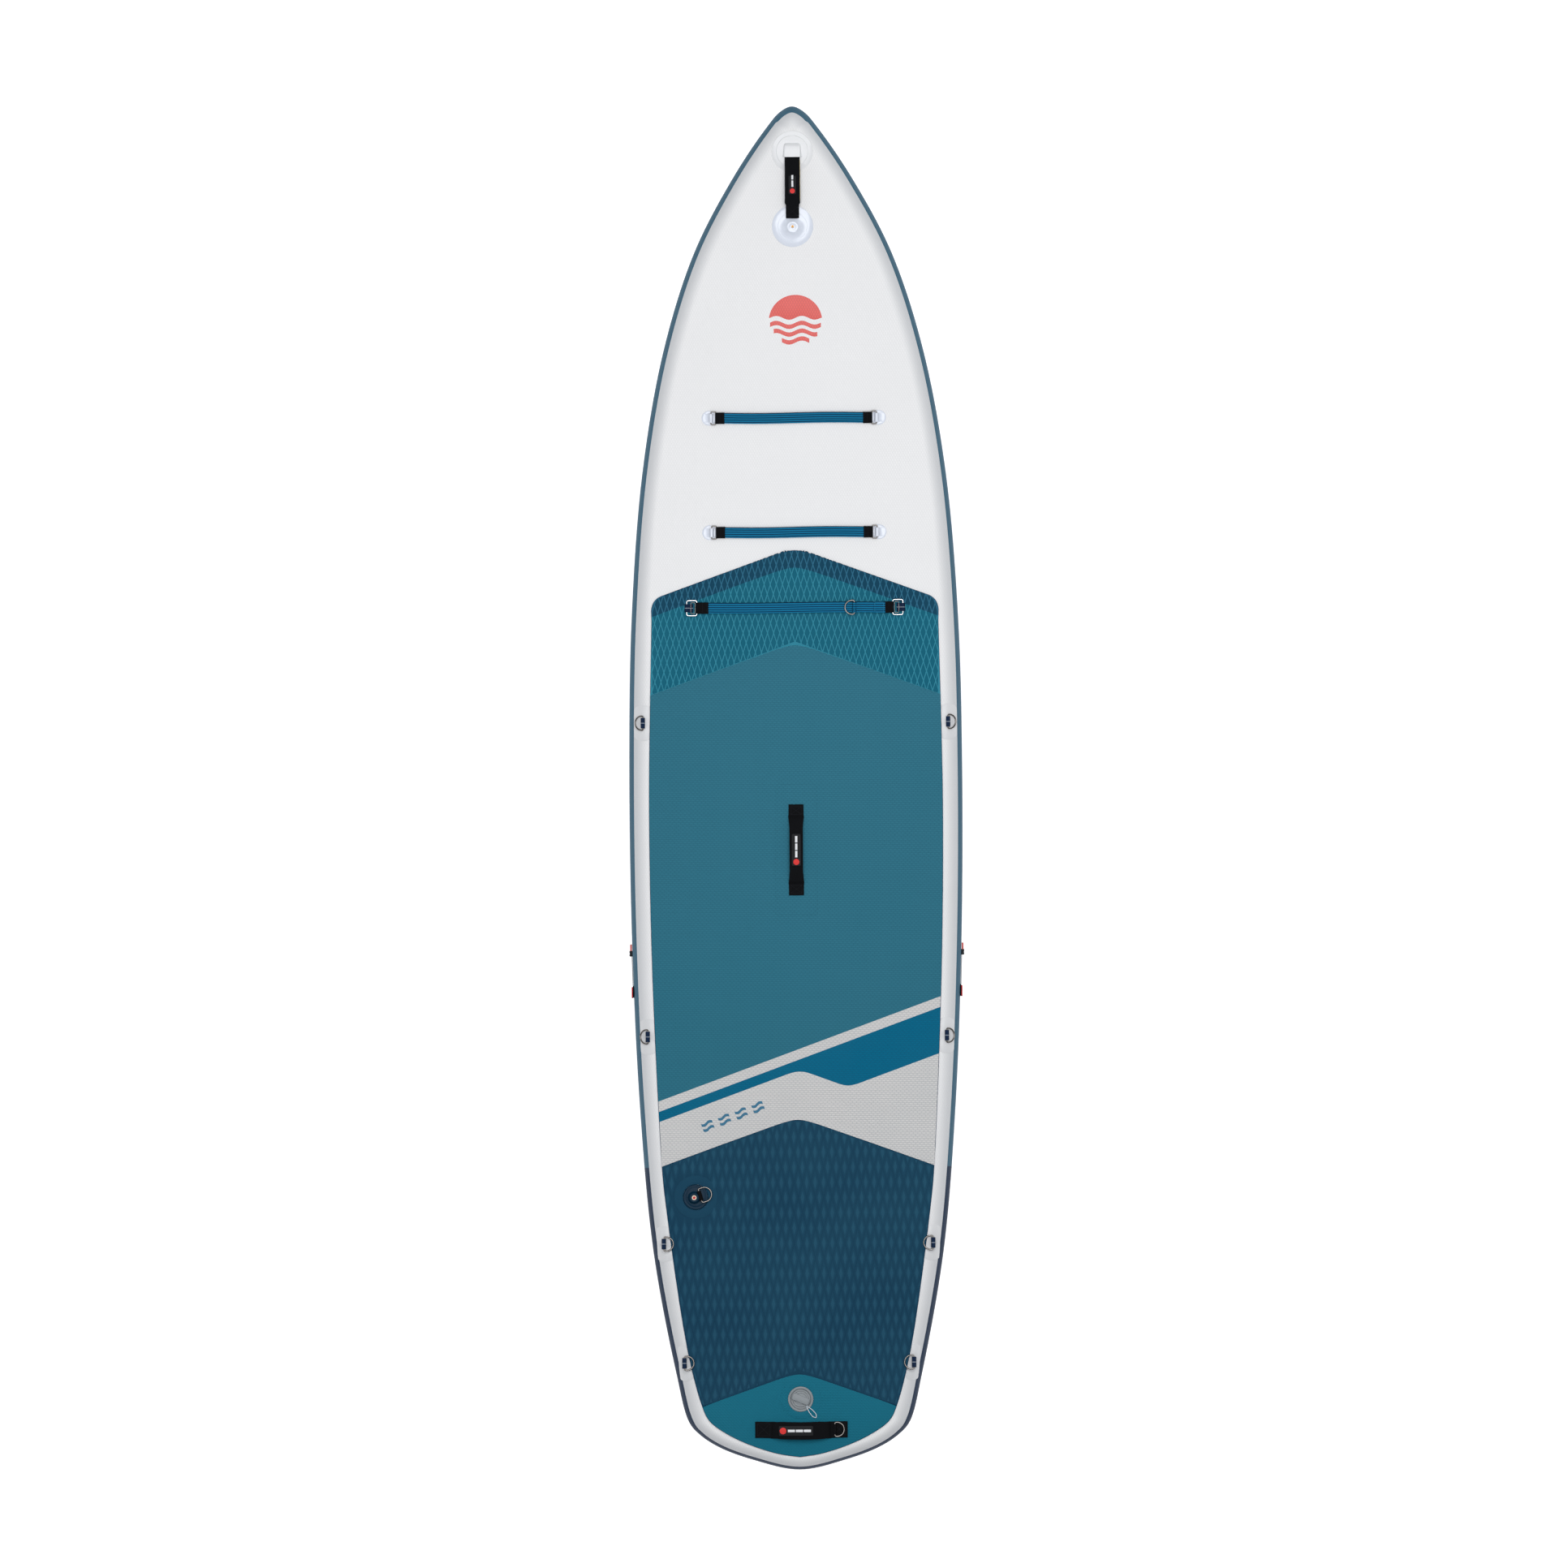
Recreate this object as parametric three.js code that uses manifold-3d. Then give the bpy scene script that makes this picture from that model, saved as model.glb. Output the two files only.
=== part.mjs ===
// An inflatable stand up paddleboard, 3505 mm long, built from its separate pieces.
// X runs across the board, Y towards the nose, Z up. The origin is under the middle of
// the board, at the height of the fin's tip.
import * as THREE from "three";
import { mergeVertices } from "three/addons/utils/BufferGeometryUtils.js";
import Module from "manifold-3d";

const wasm = await Module();
wasm.setup();

// ---------- driving dimensions, in millimetres ----------
const LENGTH = 3505;
const THICKNESS = 120;
const FIN_BELOW_HULL = 222;
const ROCKER_START = 620;
const ROCKER_RISE = 155;
const ROCKER_POWER = 2.2;
const SIDE_ROUND = 46;
const STERN_ROUND = 30;
const NOSE_APEX = 1690;
const GAP = 0.3;
const SKIN = 0.9;
const PAD = 5;
const CHEVRON_SLOPE = 0.364;
const CHEVRON_ROUND = 14;
const WIRE = 2;
const SHOULDER_DROP = 50;

const HALF = THICKNESS / 2;
const MID_Z = FIN_BELOW_HULL + HALF;
const DECK_Z = FIN_BELOW_HULL + THICKNESS;
const TIP_Y = LENGTH / 2;
const PAD_TOP = DECK_Z + GAP + PAD;
const HIGH = 600;

// Half of the plan outline, nose to stern.
const OUTLINE = [
  [0, 1752.5], [30, 1739], [72, 1690], [155.5, 1565], [254, 1377], [334, 1126], [390, 813],
  [420, 437], [428, 62], [424, -377], [406, -815], [373, -1191], [316, -1504], [284, -1629],
  [256, -1662], [205, -1695], [119, -1727], [0, -1752.5],
];
// Right edge of the deck pad below its front corner, front to stern.
const PAD_SIDE = [
  [369, 432], [374, 212], [378, -60], [372, -477], [350, -978], [342, -1062], [288, -1440],
  [250, -1590], [232, -1626], [195, -1655], [131, -1687], [57, -1711], [0, -1720],
];
// Driving points of the chevron seams, where each would meet the centre line unrounded.
const SEAMS = { front: 622, middle: 377, rear: -843, tail: -1498 };

const group = new THREE.Group();

// ---------- small helpers ----------
const deg = THREE.MathUtils.degToRad;

function mirrored(points) {
  return points.map(([x, y]) => [-x, y]);
}

function rocker(y) {
  const t = Math.max(0, (y - ROCKER_START) / (TIP_Y - ROCKER_START));
  return ROCKER_RISE * t ** ROCKER_POWER;
}

function deckZ(y) {
  return DECK_Z + rocker(y);
}

function deckTilt(y) {
  return Math.atan((rocker(y + 1) - rocker(y - 1)) / 2);
}

// A closed geometry as a solid, whichever way its faces were wound.
function solid(geometry) {
  const bare = geometry.index ? geometry.toNonIndexed() : geometry.clone();
  bare.deleteAttribute("normal");
  bare.deleteAttribute("uv");
  const merged = mergeVertices(bare, 1e-3);
  const index = merged.index.array;
  const kept = [];
  for (let i = 0; i < index.length; i += 3) {
    const [a, b, c] = [index[i], index[i + 1], index[i + 2]];
    if (a !== b && b !== c && a !== c) kept.push(a, b, c);
  }
  const vertProperties = merged.attributes.position.array;
  const build = (corners) => {
    const triVerts = new Uint32Array(corners);
    return new wasm.Manifold(new wasm.Mesh({ numProp: 3, vertProperties, triVerts }));
  };
  const made = build(kept);
  return made.volume() > 0 ? made : build(kept.reverse());
}

function geometryOf(manifold) {
  const mesh = manifold.getMesh();
  const geometry = new THREE.BufferGeometry();
  geometry.setAttribute("position", new THREE.BufferAttribute(mesh.vertProperties, 3));
  geometry.setIndex(new THREE.BufferAttribute(mesh.triVerts, 1));
  return geometry;
}

function joined(...pieces) {
  return pieces.reduce((a, b) => a.add(b));
}

// Puts a solid in the scene as one named mesh.
function add(name, piece, material, parent = group) {
  const geometry = piece.isBufferGeometry ? geometryOf(solid(piece)) : geometryOf(piece);
  geometry.computeVertexNormals();
  const mesh = new THREE.Mesh(geometry, material);
  mesh.name = name;
  parent.add(mesh);
  return mesh;
}

// A group standing at a point, turned about X by tilt and about Z by turn.
function place(x, y, z, tilt = 0, turn = 0) {
  const held = new THREE.Group();
  held.position.set(x, y, z);
  held.rotation.set(tilt, 0, turn);
  group.add(held);
  held.updateMatrixWorld(true);
  return held;
}

function box(low, high) {
  const size = high.map((value, i) => value - low[i]);
  const geometry = new THREE.BoxGeometry(...size);
  return geometry.translate(...low.map((value, i) => value + size[i] / 2));
}

// An upright cylinder from z0 to z1.
function rod(radius, z0, z1, x = 0, y = 0, sides = 32, topRadius = radius) {
  const geometry = new THREE.CylinderGeometry(topRadius, radius, z1 - z0, sides);
  geometry.rotateX(Math.PI / 2);
  return geometry.translate(x, y, (z0 + z1) / 2);
}

// A cylinder along Y, for the holes that a ring's bar runs through.
function crossRod(radius, length, x, z, sides = 12) {
  const geometry = new THREE.CylinderGeometry(radius, radius, length, sides);
  return geometry.translate(x, 0, z);
}

// A flat outline given in X and Y, raised from z0 to z1.
function slab(points, z0, z1) {
  const shape = new THREE.Shape(points.map(([x, y]) => new THREE.Vector2(x, y)));
  const geometry = new THREE.ExtrudeGeometry(shape, { depth: z1 - z0, bevelEnabled: false });
  return geometry.translate(0, 0, z0);
}

// A profile in X and Z, given width along Y about y = 0.
function ribbon(points, width) {
  const shape = new THREE.Shape(points.map(([x, z]) => new THREE.Vector2(x, z)));
  const geometry = new THREE.ExtrudeGeometry(shape, { depth: width, bevelEnabled: false });
  geometry.rotateX(Math.PI / 2);
  return geometry.translate(0, width / 2, 0);
}

// Joins rows of points into one closed surface, splitting each face along its shorter
// diagonal, so that nested surfaces keep their distance. Rows are closed loops.
function loft(rows, looped) {
  const around = rows[0].length;
  const points = rows.flat();
  const positions = points.flatMap((p) => [p.x, p.y, p.z]);
  const index = [];
  const last = looped ? rows.length : rows.length - 1;
  for (let i = 0; i < last; i++) {
    const next = (i + 1) % rows.length;
    for (let j = 0; j < around; j++) {
      const side = (j + 1) % around;
      const [a, b] = [i * around + j, i * around + side];
      const [c, d] = [next * around + side, next * around + j];
      const longer = points[a].distanceTo(points[c]) > points[b].distanceTo(points[d]) + 1e-6;
      if (longer) index.push(a, b, d, b, c, d);
      else index.push(a, b, c, a, c, d);
    }
  }
  const geometry = new THREE.BufferGeometry();
  geometry.setAttribute("position", new THREE.Float32BufferAttribute(positions, 3));
  geometry.setIndex(index);
  return geometry;
}

// A round wire along a closed path that lies in the XY plane.
function wireLoop(path, radius, sides = 6) {
  const rows = path.map((point, i) => {
    const before = path[(i + path.length - 1) % path.length];
    const after = path[(i + 1) % path.length];
    const along = new THREE.Vector2(after[0] - before[0], after[1] - before[1]).normalize();
    const row = [];
    for (let j = 0; j < sides; j++) {
      const angle = (2 * Math.PI * j) / sides;
      const out = radius * Math.cos(angle);
      const up = radius * Math.sin(angle);
      row.push(new THREE.Vector3(point[0] + along.y * out, point[1] - along.x * out, up));
    }
    return row;
  });
  return loft(rows, true);
}

// A D-shaped ring: straight bar on the Y axis, bow towards +X.
function dRing(height, reach) {
  const r = height / 2 - WIRE;
  const straight = reach - 2 * WIRE - r;
  const path = [[0, -r * 0.86], [0, 0], [0, r * 0.86], [r * 0.14, r]];
  for (let i = 0; i <= 10; i++) {
    const angle = Math.PI / 2 - (Math.PI * i) / 10;
    path.push([straight + r * Math.cos(angle), r * Math.sin(angle)]);
  }
  path.push([r * 0.14, -r]);
  return wireLoop(path, WIRE);
}

// A rectangular ring with round corners, bars along Y at x = 0 and x = span.
function frameRing(span, height, radius, wire) {
  const path = [];
  const half = height / 2 - wire;
  const [near, far, top] = [radius, span - radius, half - radius];
  const centres = [[far, top], [near, top], [near, -top], [far, -top]];
  centres.forEach(([x, y], quarter) => {
    for (let i = 0; i <= 3; i++) {
      const angle = ((quarter + i / 3) * Math.PI) / 2;
      path.push([x + radius * Math.cos(angle), y + radius * Math.sin(angle)]);
    }
  });
  return wireLoop(path, wire);
}

function finish(colour, roughness, metalness = 0) {
  return new THREE.MeshStandardMaterial({ color: colour, roughness, metalness });
}

const WHITE_SKIN = finish(0xe8e8ea, 0.45);
const FABRIC = finish(0xd8dadc, 0.9);
const RAIL_BLUE = finish(0x496979, 0.5);
const CLEAR_PATCH = finish(0xe4e8f2, 0.3);
const NAVY_FOAM = finish(0x1b4158, 0.85);
const TEAL_FOAM = finish(0x196479, 0.85);
const STEEL_FOAM = finish(0x306d80, 0.85);
const BLACK_WEBBING = finish(0x131417, 0.9);
const BLUE_ELASTIC = finish(0x115675, 0.85);
const NAVY_WEBBING = finish(0x1c2c44, 0.85);
const STAINLESS = finish(0xb8babc, 0.25, 1);
const BRASS = finish(0xb08a4e, 0.3, 1);
const VALVE_GREY = finish(0x81878b, 0.5);
const BLACK_PLASTIC = finish(0x202226, 0.5);

// ---------- hull ----------
// Each station holds a point of the outline and the point of the flat deck that its
// rounded edge starts from.
function stations(steps) {
  const curve = new THREE.CatmullRomCurve3(
    [[-30, 1739], ...OUTLINE, [-119, -1727]].map(([x, y]) => new THREE.Vector3(x, y, 0)),
    false,
    "centripetal",
  );
  const spans = OUTLINE.length + 1;
  const made = [];
  for (let i = 0; i <= (OUTLINE.length - 1) * steps; i++) {
    const t = (1 + i / steps) / spans;
    const edge = curve.getPoint(t);
    const along = curve.getTangent(t);
    const sternward = THREE.MathUtils.smoothstep(along.x * -1, 0.3, 1);
    const inset = THREE.MathUtils.lerp(SIDE_ROUND, STERN_ROUND, sternward);
    const flat = new THREE.Vector3(edge.x + along.y * inset, edge.y - along.x * inset, 0);
    if (flat.x < 0 || flat.y > NOSE_APEX) flat.set(0, Math.min(flat.y, NOSE_APEX), 0);
    made.push({ edge, flat });
  }
  const [bow, stern] = [made[0], made[made.length - 1]];
  bow.edge.x = 0;
  bow.flat.set(0, NOSE_APEX, 0);
  stern.edge.x = 0;
  stern.flat.set(0, stern.edge.y + STERN_ROUND, 0);
  return made;
}

const STATIONS = stations(2);

// A point of the hull's surface, moved out by an offset: angle 90 is the flat deck,
// 0 the widest line and -90 the flat bottom.
function surfacePoint({ edge, flat }, angle, offset, side) {
  const k = 1 + offset / HALF;
  const out = k * Math.cos(deg(angle));
  const y = flat.y + (edge.y - flat.y) * out;
  const x = flat.x + (edge.x - flat.x) * out;
  return new THREE.Vector3(side * x, y, MID_Z + HALF * k * Math.sin(deg(angle)) + rocker(y));
}

function hullRow(station, angles, offset, side) {
  return angles.map((angle) => surfacePoint(station, angle, offset, side));
}

// The whole hull as one closed body, its surface moved out by an offset.
function hullBody(offset) {
  const angles = [90, 64, 40.2, 14, -12, -36.2, -62, -90];
  const rows = STATIONS.map((s) => [
    ...hullRow(s, angles, offset, 1),
    ...hullRow(s, [...angles].reverse(), offset, -1),
  ]);
  return solid(loft(rows, false));
}

// A skin over the deck or the bottom, with its edges turned round the sides.
function hullSkin(angles) {
  const back = [...angles].reverse();
  const rows = STATIONS.map((s) => [
    ...hullRow(s, back, 0, 1),
    ...hullRow(s, angles, 0, -1),
    ...hullRow(s, back, -SKIN, -1),
    ...hullRow(s, angles, -SKIN, 1),
  ]);
  return solid(loft(rows, false));
}

// The band round the side, one closed hoop.
function railBand(angles) {
  const back = [...angles].reverse();
  const side = (sign) =>
    STATIONS.map((s) => [...hullRow(s, angles, 0, sign), ...hullRow(s, back, -SKIN, sign)]);
  const left = side(-1).reverse().slice(1, -1);
  return solid(loft([...side(1), ...left], true));
}

const VALVE = [3, -1571];
const LEASH = [-264, -1050];
const skinLine = hullBody(GAP);
const patchLine = hullBody(GAP + 1.3);
const discLine = hullBody(GAP + 3);

const valveHole = solid(rod(26.2, DECK_Z - 56, HIGH, ...VALVE, 36));
add("drop_stitch_core", hullBody(-SKIN - GAP).subtract(valveHole), FABRIC);
add("deck_skin", hullSkin([90, 64, 40.4]).subtract(valveHole), WHITE_SKIN);
add("hull_skin", hullSkin([-90, -62, -36.4]), WHITE_SKIN);
add("rail_band", railBand([40, 14, -12, -36]), RAIL_BLUE);

// ---------- deck pad, four foam sheets ----------
function seamLine(apex, shift = 0) {
  return (x) => apex + shift - CHEVRON_SLOPE * Math.hypot(x, CHEVRON_ROUND);
}

// The pad's outline, made wider by a margin, cut off between two seam lines.
function padSide(margin) {
  const curve = new THREE.CatmullRomCurve3(
    PAD_SIDE.map(([x, y]) => new THREE.Vector3(x && x + margin, y - (x ? 0 : margin), 0)),
    false,
    "centripetal",
  );
  return curve.getPoints(PAD_SIDE.length * 2).map((p) => [p.x, p.y]);
}

function frontCorner(margin) {
  const line = seamLine(SEAMS.front, margin);
  const corner = new THREE.QuadraticBezierCurve(
    new THREE.Vector2(318, line(318)),
    new THREE.Vector2(366 + margin, line(366)),
    new THREE.Vector2(369 + margin, 432),
  );
  return corner.getPoints(6).map((p) => [p.x, p.y]).slice(0, -1);
}

function acrossSeam(line, reach) {
  return [0, 10, 22, 45, reach].map((x) => [x, line(x)]);
}

function padSheet(from, to) {
  const top = seamLine(from, -GAP);
  const bottom = to === null ? () => -TIP_Y : seamLine(to, GAP);
  const whole = padSide(0);
  const side = whole.filter(([x, y]) => y < top(x) && y > bottom(x));
  const cut = (line) => {
    const next = whole.findIndex(([x, y]) => y < line(x));
    const [a, b] = [whole[next - 1], whole[next]];
    const t = (a[1] - line(a[0])) / (a[1] - line(a[0]) - (b[1] - line(b[0])));
    return [a[0] + (b[0] - a[0]) * t, a[1] + (b[1] - a[1]) * t];
  };
  const start = from === SEAMS.front
    ? [...acrossSeam(top, 200), ...frontCorner(-GAP)]
    : [...acrossSeam(top, 200), cut(top)];
  const end = to === null ? [] : [cut(bottom), ...acrossSeam(bottom, 200).reverse()];
  const right = [...start, ...side, ...end];
  const left = mirrored(right).reverse().filter(([x]) => x < -1e-6);
  return solid(slab([...right.filter(([x]) => x > -1e-6), ...left], DECK_Z + GAP, PAD_TOP));
}

add("pad_front", padSheet(SEAMS.front, SEAMS.middle), TEAL_FOAM);
add("pad_middle", padSheet(SEAMS.middle, SEAMS.rear), STEEL_FOAM);
const leashGap = solid(rod(33.5, MID_Z, HIGH, ...LEASH));
const valveGap = solid(rod(35, MID_Z, HIGH, ...VALVE));
add("pad_rear", padSheet(SEAMS.rear, SEAMS.tail).subtract(leashGap), NAVY_FOAM);
add("pad_tail", padSheet(SEAMS.tail, null).subtract(valveGap), TEAL_FOAM);

// Everything within reach of the pad, to trim the patches that stop at its edge.
const padReach = (() => {
  const right = [[0, SEAMS.front], ...frontCorner(0.8), ...padSide(0.8)];
  const left = mirrored(right).reverse().filter(([x]) => x < -1e-6);
  return solid(slab([...right, ...left], DECK_Z - 40, HIGH));
})();

// A round patch welded to the skin, as far down the rounded side as it reaches.
function patch(x, y, radius, line = patchLine) {
  const low = deckZ(y - radius) - SHOULDER_DROP;
  return solid(rod(radius, low, HIGH, x, y, 24)).intersect(line).subtract(skinLine);
}

// ---------- rings ----------
const RING = { height: 40, reach: 28 };
const KEEPER_LONG = 27;
const HOLE = WIRE + 0.6;
const KEEPER_ANGLES = [0, 30, 60, 90, 120, 150, 180].map(deg);

// A webbing loop round a ring's bar, its axis at the local origin, standing on depth.
function keeper(depth, long = KEEPER_LONG, outer = HOLE + 1.6, hole = HOLE) {
  const top = KEEPER_ANGLES.map((a) => [outer * Math.cos(a), outer * Math.sin(a)]);
  const body = solid(ribbon([...top, [-outer, -depth], [outer, -depth]], long));
  return body.subtract(solid(crossRod(hole, long + 4, 0, 0)));
}

// The eight side rings: distance from the centre line, place along the board, height
// over the deck, how far the bow droops, and whether the bow points outwards.
const RAIL_RINGS = [
  { x: 392, y: 170, lift: 5, droop: 34, outwards: true },
  { x: 384, y: -637, lift: 3.5, droop: 36, outwards: true },
  { x: 346, y: -1170, lift: 8, droop: 0, outwards: false },
  { x: 295, y: -1477, lift: 8, droop: 0, outwards: false },
];
const RAIL_PATCH = 46;

RAIL_RINGS.forEach(({ x, y, lift, droop, outwards }, i) => {
  for (const side of [-1, 1]) {
    const label = `${i + 1}_${side < 0 ? "left" : "right"}`;
    const at = [side * x, y, DECK_Z + lift];
    const loop = keeper(14).translate(at);
    const base = patch(at[0], y, RAIL_PATCH).subtract(padReach);
    add(`rail_anchor_${label}`, joined(base, loop).subtract(skinLine), CLEAR_PATCH);
    const held = place(...at);
    held.rotation.y = side * deg(droop);
    const bow = new THREE.Group();
    bow.rotation.z = side > 0 === outwards ? 0 : Math.PI;
    held.add(bow);
    add(`rail_ring_${label}`, dRing(RING.height, RING.reach), STAINLESS, bow);
  }
});

// ---------- nose handle and accessory mount ----------
const NOSE_PATCH_Y = 1637;
const MOUNT_Y = 1447;
const NOSE_PATCH_R = 53;
const NOSE_WEB = 38.5;

// Heights over the deck along the nose handle, from the tunnel to the lower mount.
const NOSE_ARCH = [
  [1641, 7.5], [1627, 8.5], [1600, 14], [1545, 21], [1500, 19], [1479, 14], [1467, 11.5],
];
const NOSE_WEB_HALF_THICK = 1.5;

function noseHandle() {
  const places = NOSE_ARCH.map(([y, h]) => new THREE.Vector3(y, deckZ(y) + h, 0));
  const line = new THREE.CatmullRomCurve3(places).getPoints(16);
  const top = line.map((p) => [p.x, p.y + NOSE_WEB_HALF_THICK]);
  const under = line.map((p) => [p.x, p.y - NOSE_WEB_HALF_THICK]).reverse();
  return ribbon([...top, ...under], NOSE_WEB).rotateZ(Math.PI / 2);
}

// The welded tunnel that the handle's front end is tucked into.
const TUNNEL = { half: 25, low: 1618, high: 1660, top: 15, skin: 2.5, end: 1648 };
const tunnelZ = deckZ(NOSE_PATCH_Y);
const tunnelRoom = solid(
  box(
    [-NOSE_WEB / 2 - 1, TUNNEL.low - 18, deckZ(TUNNEL.low - 18)],
    [NOSE_WEB / 2 + 1, TUNNEL.end, tunnelZ + TUNNEL.top - TUNNEL.skin],
  ),
);
const tunnel = solid(
  box(
    [-TUNNEL.half, TUNNEL.low, deckZ(TUNNEL.low) - 20],
    [TUNNEL.half, TUNNEL.high, tunnelZ + TUNNEL.top],
  ),
).subtract(tunnelRoom);
const nosePatch = joined(
  patch(0, NOSE_PATCH_Y, NOSE_PATCH_R),
  patch(0, NOSE_PATCH_Y, 41, discLine),
  tunnel,
).subtract(skinLine);
add("nose_handle_patch", nosePatch, CLEAR_PATCH);
add("nose_handle", noseHandle(), BLACK_WEBBING);

const BOSS_TOP = 12;
const mountTilt = deckTilt(MOUNT_Y);
const atMount = place(0, MOUNT_Y, deckZ(MOUNT_Y), mountTilt);

function lean(piece) {
  return piece.rotate([THREE.MathUtils.radToDeg(mountTilt), 0, 0]).translate([0, MOUNT_Y, deckZ(MOUNT_Y)]);
}

const mountCone = joined(
  solid(rod(37.5, -4, 6, 0, 0, 32, 17)),
  solid(rod(14.5, 0, BOSS_TOP, 0, 0, 24)),
).subtract(solid(rod(3.4, 2.5, 40, 0, 0, 16)));
add(
  "nose_mount_patch",
  joined(patch(0, MOUNT_Y, NOSE_PATCH_R), lean(mountCone)).subtract(skinLine),
  CLEAR_PATCH,
);
const insert = solid(rod(3, 3, BOSS_TOP, 0, 0, 16)).subtract(solid(rod(1.7, 5, 40, 0, 0, 12)));
add("nose_mount_insert", insert, BRASS, atMount);

// ---------- cargo straps ----------
const STRAP_WIDE = 28;
const STRAP_EYE = 200;
const STRAP_WIRE = 1.5;
const STRAP_RING_SPAN = 13;
const ANCHOR_X = 216;
const ANCHOR_R = 19;
const STRAP_LIFT = 9;
const STRAP_THIN = 1.4;
const STRAP_THICK = 3.4;

// An elastic strap seen from its edge: a flat band with a thick folded eye at each end.
function strapBand(eye) {
  const inner = eye - 22;
  const right = [[inner - 4, STRAP_THIN], [inner, STRAP_THICK], [eye + 2, STRAP_THICK]];
  const top = [...mirrored(right).reverse(), ...right, [eye + 4, 0]];
  const under = top.slice(0, -1).map(([x, z]) => [x, -z]).reverse();
  return solid(ribbon([[-eye - 4, 0], ...top, ...under], STRAP_WIDE));
}

function eyes(band, places, radius) {
  return places.reduce((cut, x) => cut.subtract(solid(crossRod(radius, 60, x, 0, 10))), band);
}

[953, 659].forEach((y, i) => {
  const n = i + 1;
  const z = deckZ(y) + STRAP_LIFT;
  const held = place(0, y, z, deckTilt(y));
  const band = eyes(strapBand(STRAP_EYE), [-STRAP_EYE, STRAP_EYE], 2.1);
  add(`cargo_strap_${n}`, band, BLUE_ELASTIC, held);
  for (const side of [-1, 1]) {
    const label = `${n}_${side < 0 ? "left" : "right"}`;
    const turned = new THREE.Group();
    turned.position.x = side * STRAP_EYE;
    turned.rotation.z = side < 0 ? Math.PI : 0;
    held.add(turned);
    add(`cargo_ring_${label}`, frameRing(STRAP_RING_SPAN, 36, 2.2, STRAP_WIRE), STAINLESS, turned);
    const loop = keeper(14, 22, 3.6, 2.1)
      .rotate([THREE.MathUtils.radToDeg(deckTilt(y)), 0, 0])
      .translate([side * (STRAP_EYE + STRAP_RING_SPAN), y, z]);
    const base = patch(side * ANCHOR_X, y, ANCHOR_R);
    add(`cargo_anchor_${label}`, joined(base, loop).subtract(skinLine), CLEAR_PATCH);
  }
});

// The third strap lies on the pad, between two steel frames, and carries a ring.
const PAD_STRAP_Y = 465;
const PAD_EYE = 252;
const STRAP_RING_X = 153;
const STRAP_RING_Z = 6.6;
const atPadStrap = place(0, PAD_STRAP_Y, PAD_TOP + STRAP_LIFT - 1.6);
const strapRingKeeper = keeper(6, 27, 3.8, HOLE).translate([STRAP_RING_X, 0, STRAP_RING_Z]);
const padBand = eyes(strapBand(PAD_EYE), [-PAD_EYE, PAD_EYE], 2.4).add(strapRingKeeper);
add("cargo_strap_3", padBand, BLUE_ELASTIC, atPadStrap);
for (const side of [-1, 1]) {
  const turned = new THREE.Group();
  turned.position.x = side * PAD_EYE;
  turned.rotation.z = side < 0 ? Math.PI : 0;
  atPadStrap.add(turned);
  add(`cargo_frame_${side < 0 ? "left" : "right"}`, frameRing(26, 42.6, 4, 1.8), STAINLESS, turned);
}
const strapRing = new THREE.Group();
strapRing.position.set(STRAP_RING_X, 0, STRAP_RING_Z);
strapRing.rotation.z = Math.PI;
atPadStrap.add(strapRing);
add("cargo_strap_ring", dRing(40, RING.reach), STAINLESS, strapRing);

// ---------- carry handles ----------
// A padded webbing grip that lies flat at both ends and arches in between.
function grip(length, flatEnd, rise, thick) {
  const half = length / 2;
  const run = half - flatEnd;
  const top = [];
  const under = [];
  for (let i = 0; i <= 14; i++) {
    const x = -run + (2 * run * i) / 14;
    const up = rise * Math.sqrt(Math.max(0, Math.cos((x / run) * (Math.PI / 2))));
    top.push([x, up + thick]);
    under.push([x, up]);
  }
  return [[-half, 0], [-half, 4], ...top, [half, 4], [half, 0], ...under.reverse()];
}

const HANDLE_RISE = 16;
const atHandle = place(0, -158, PAD_TOP + GAP, 0, Math.PI / 2);
add("centre_handle", ribbon(grip(234, 32, HANDLE_RISE, 5), 39), BLACK_WEBBING, atHandle);

const TAIL_HANDLE = [4.5, -1649];
const atTail = place(...TAIL_HANDLE, PAD_TOP + GAP);
const TAIL_RING_X = 86;
const TAIL_RING_Z = 7.6;
const tailKeeper = keeper(5, 27, 3.8, HOLE).translate([TAIL_RING_X, 0, TAIL_RING_Z]);
const tailGrip = solid(ribbon(grip(238, 46, HANDLE_RISE, 5), 42));
add("tail_handle", tailGrip.add(tailKeeper), BLACK_WEBBING, atTail);
const tailRing = new THREE.Group();
tailRing.position.set(TAIL_RING_X, 0, TAIL_RING_Z);
atTail.add(tailRing);
add("tail_handle_ring", dRing(40, RING.reach), STAINLESS, tailRing);

// ---------- leash point ----------
const LEASH_TURN = deg(17);
const LEASH_BAR = 12;
const LEASH_AXIS = 10.5;
const atLeash = place(...LEASH, DECK_Z + GAP, 0, LEASH_TURN);
const leashDisc = joined(
  solid(rod(32.5, 0, PAD + 1.2, 0, 0, 36)),
  solid(rod(14, PAD, 14, -4, 0, 28, 11)),
  keeper(8, 26, 4.4, 2.7).translate([LEASH_BAR, 0, LEASH_AXIS]),
);
add("leash_anchor", leashDisc, NAVY_FOAM, atLeash);
const leashRing = new THREE.Group();
leashRing.position.set(LEASH_BAR, 0, LEASH_AXIS);
atLeash.add(leashRing);
add("leash_ring", dRing(41, 34), STAINLESS, leashRing);

// ---------- inflation valve ----------
const atValve = place(...VALVE, DECK_Z);
const SEAT_TOP = -28;
const PLUNGER_LOW = -38;

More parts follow.
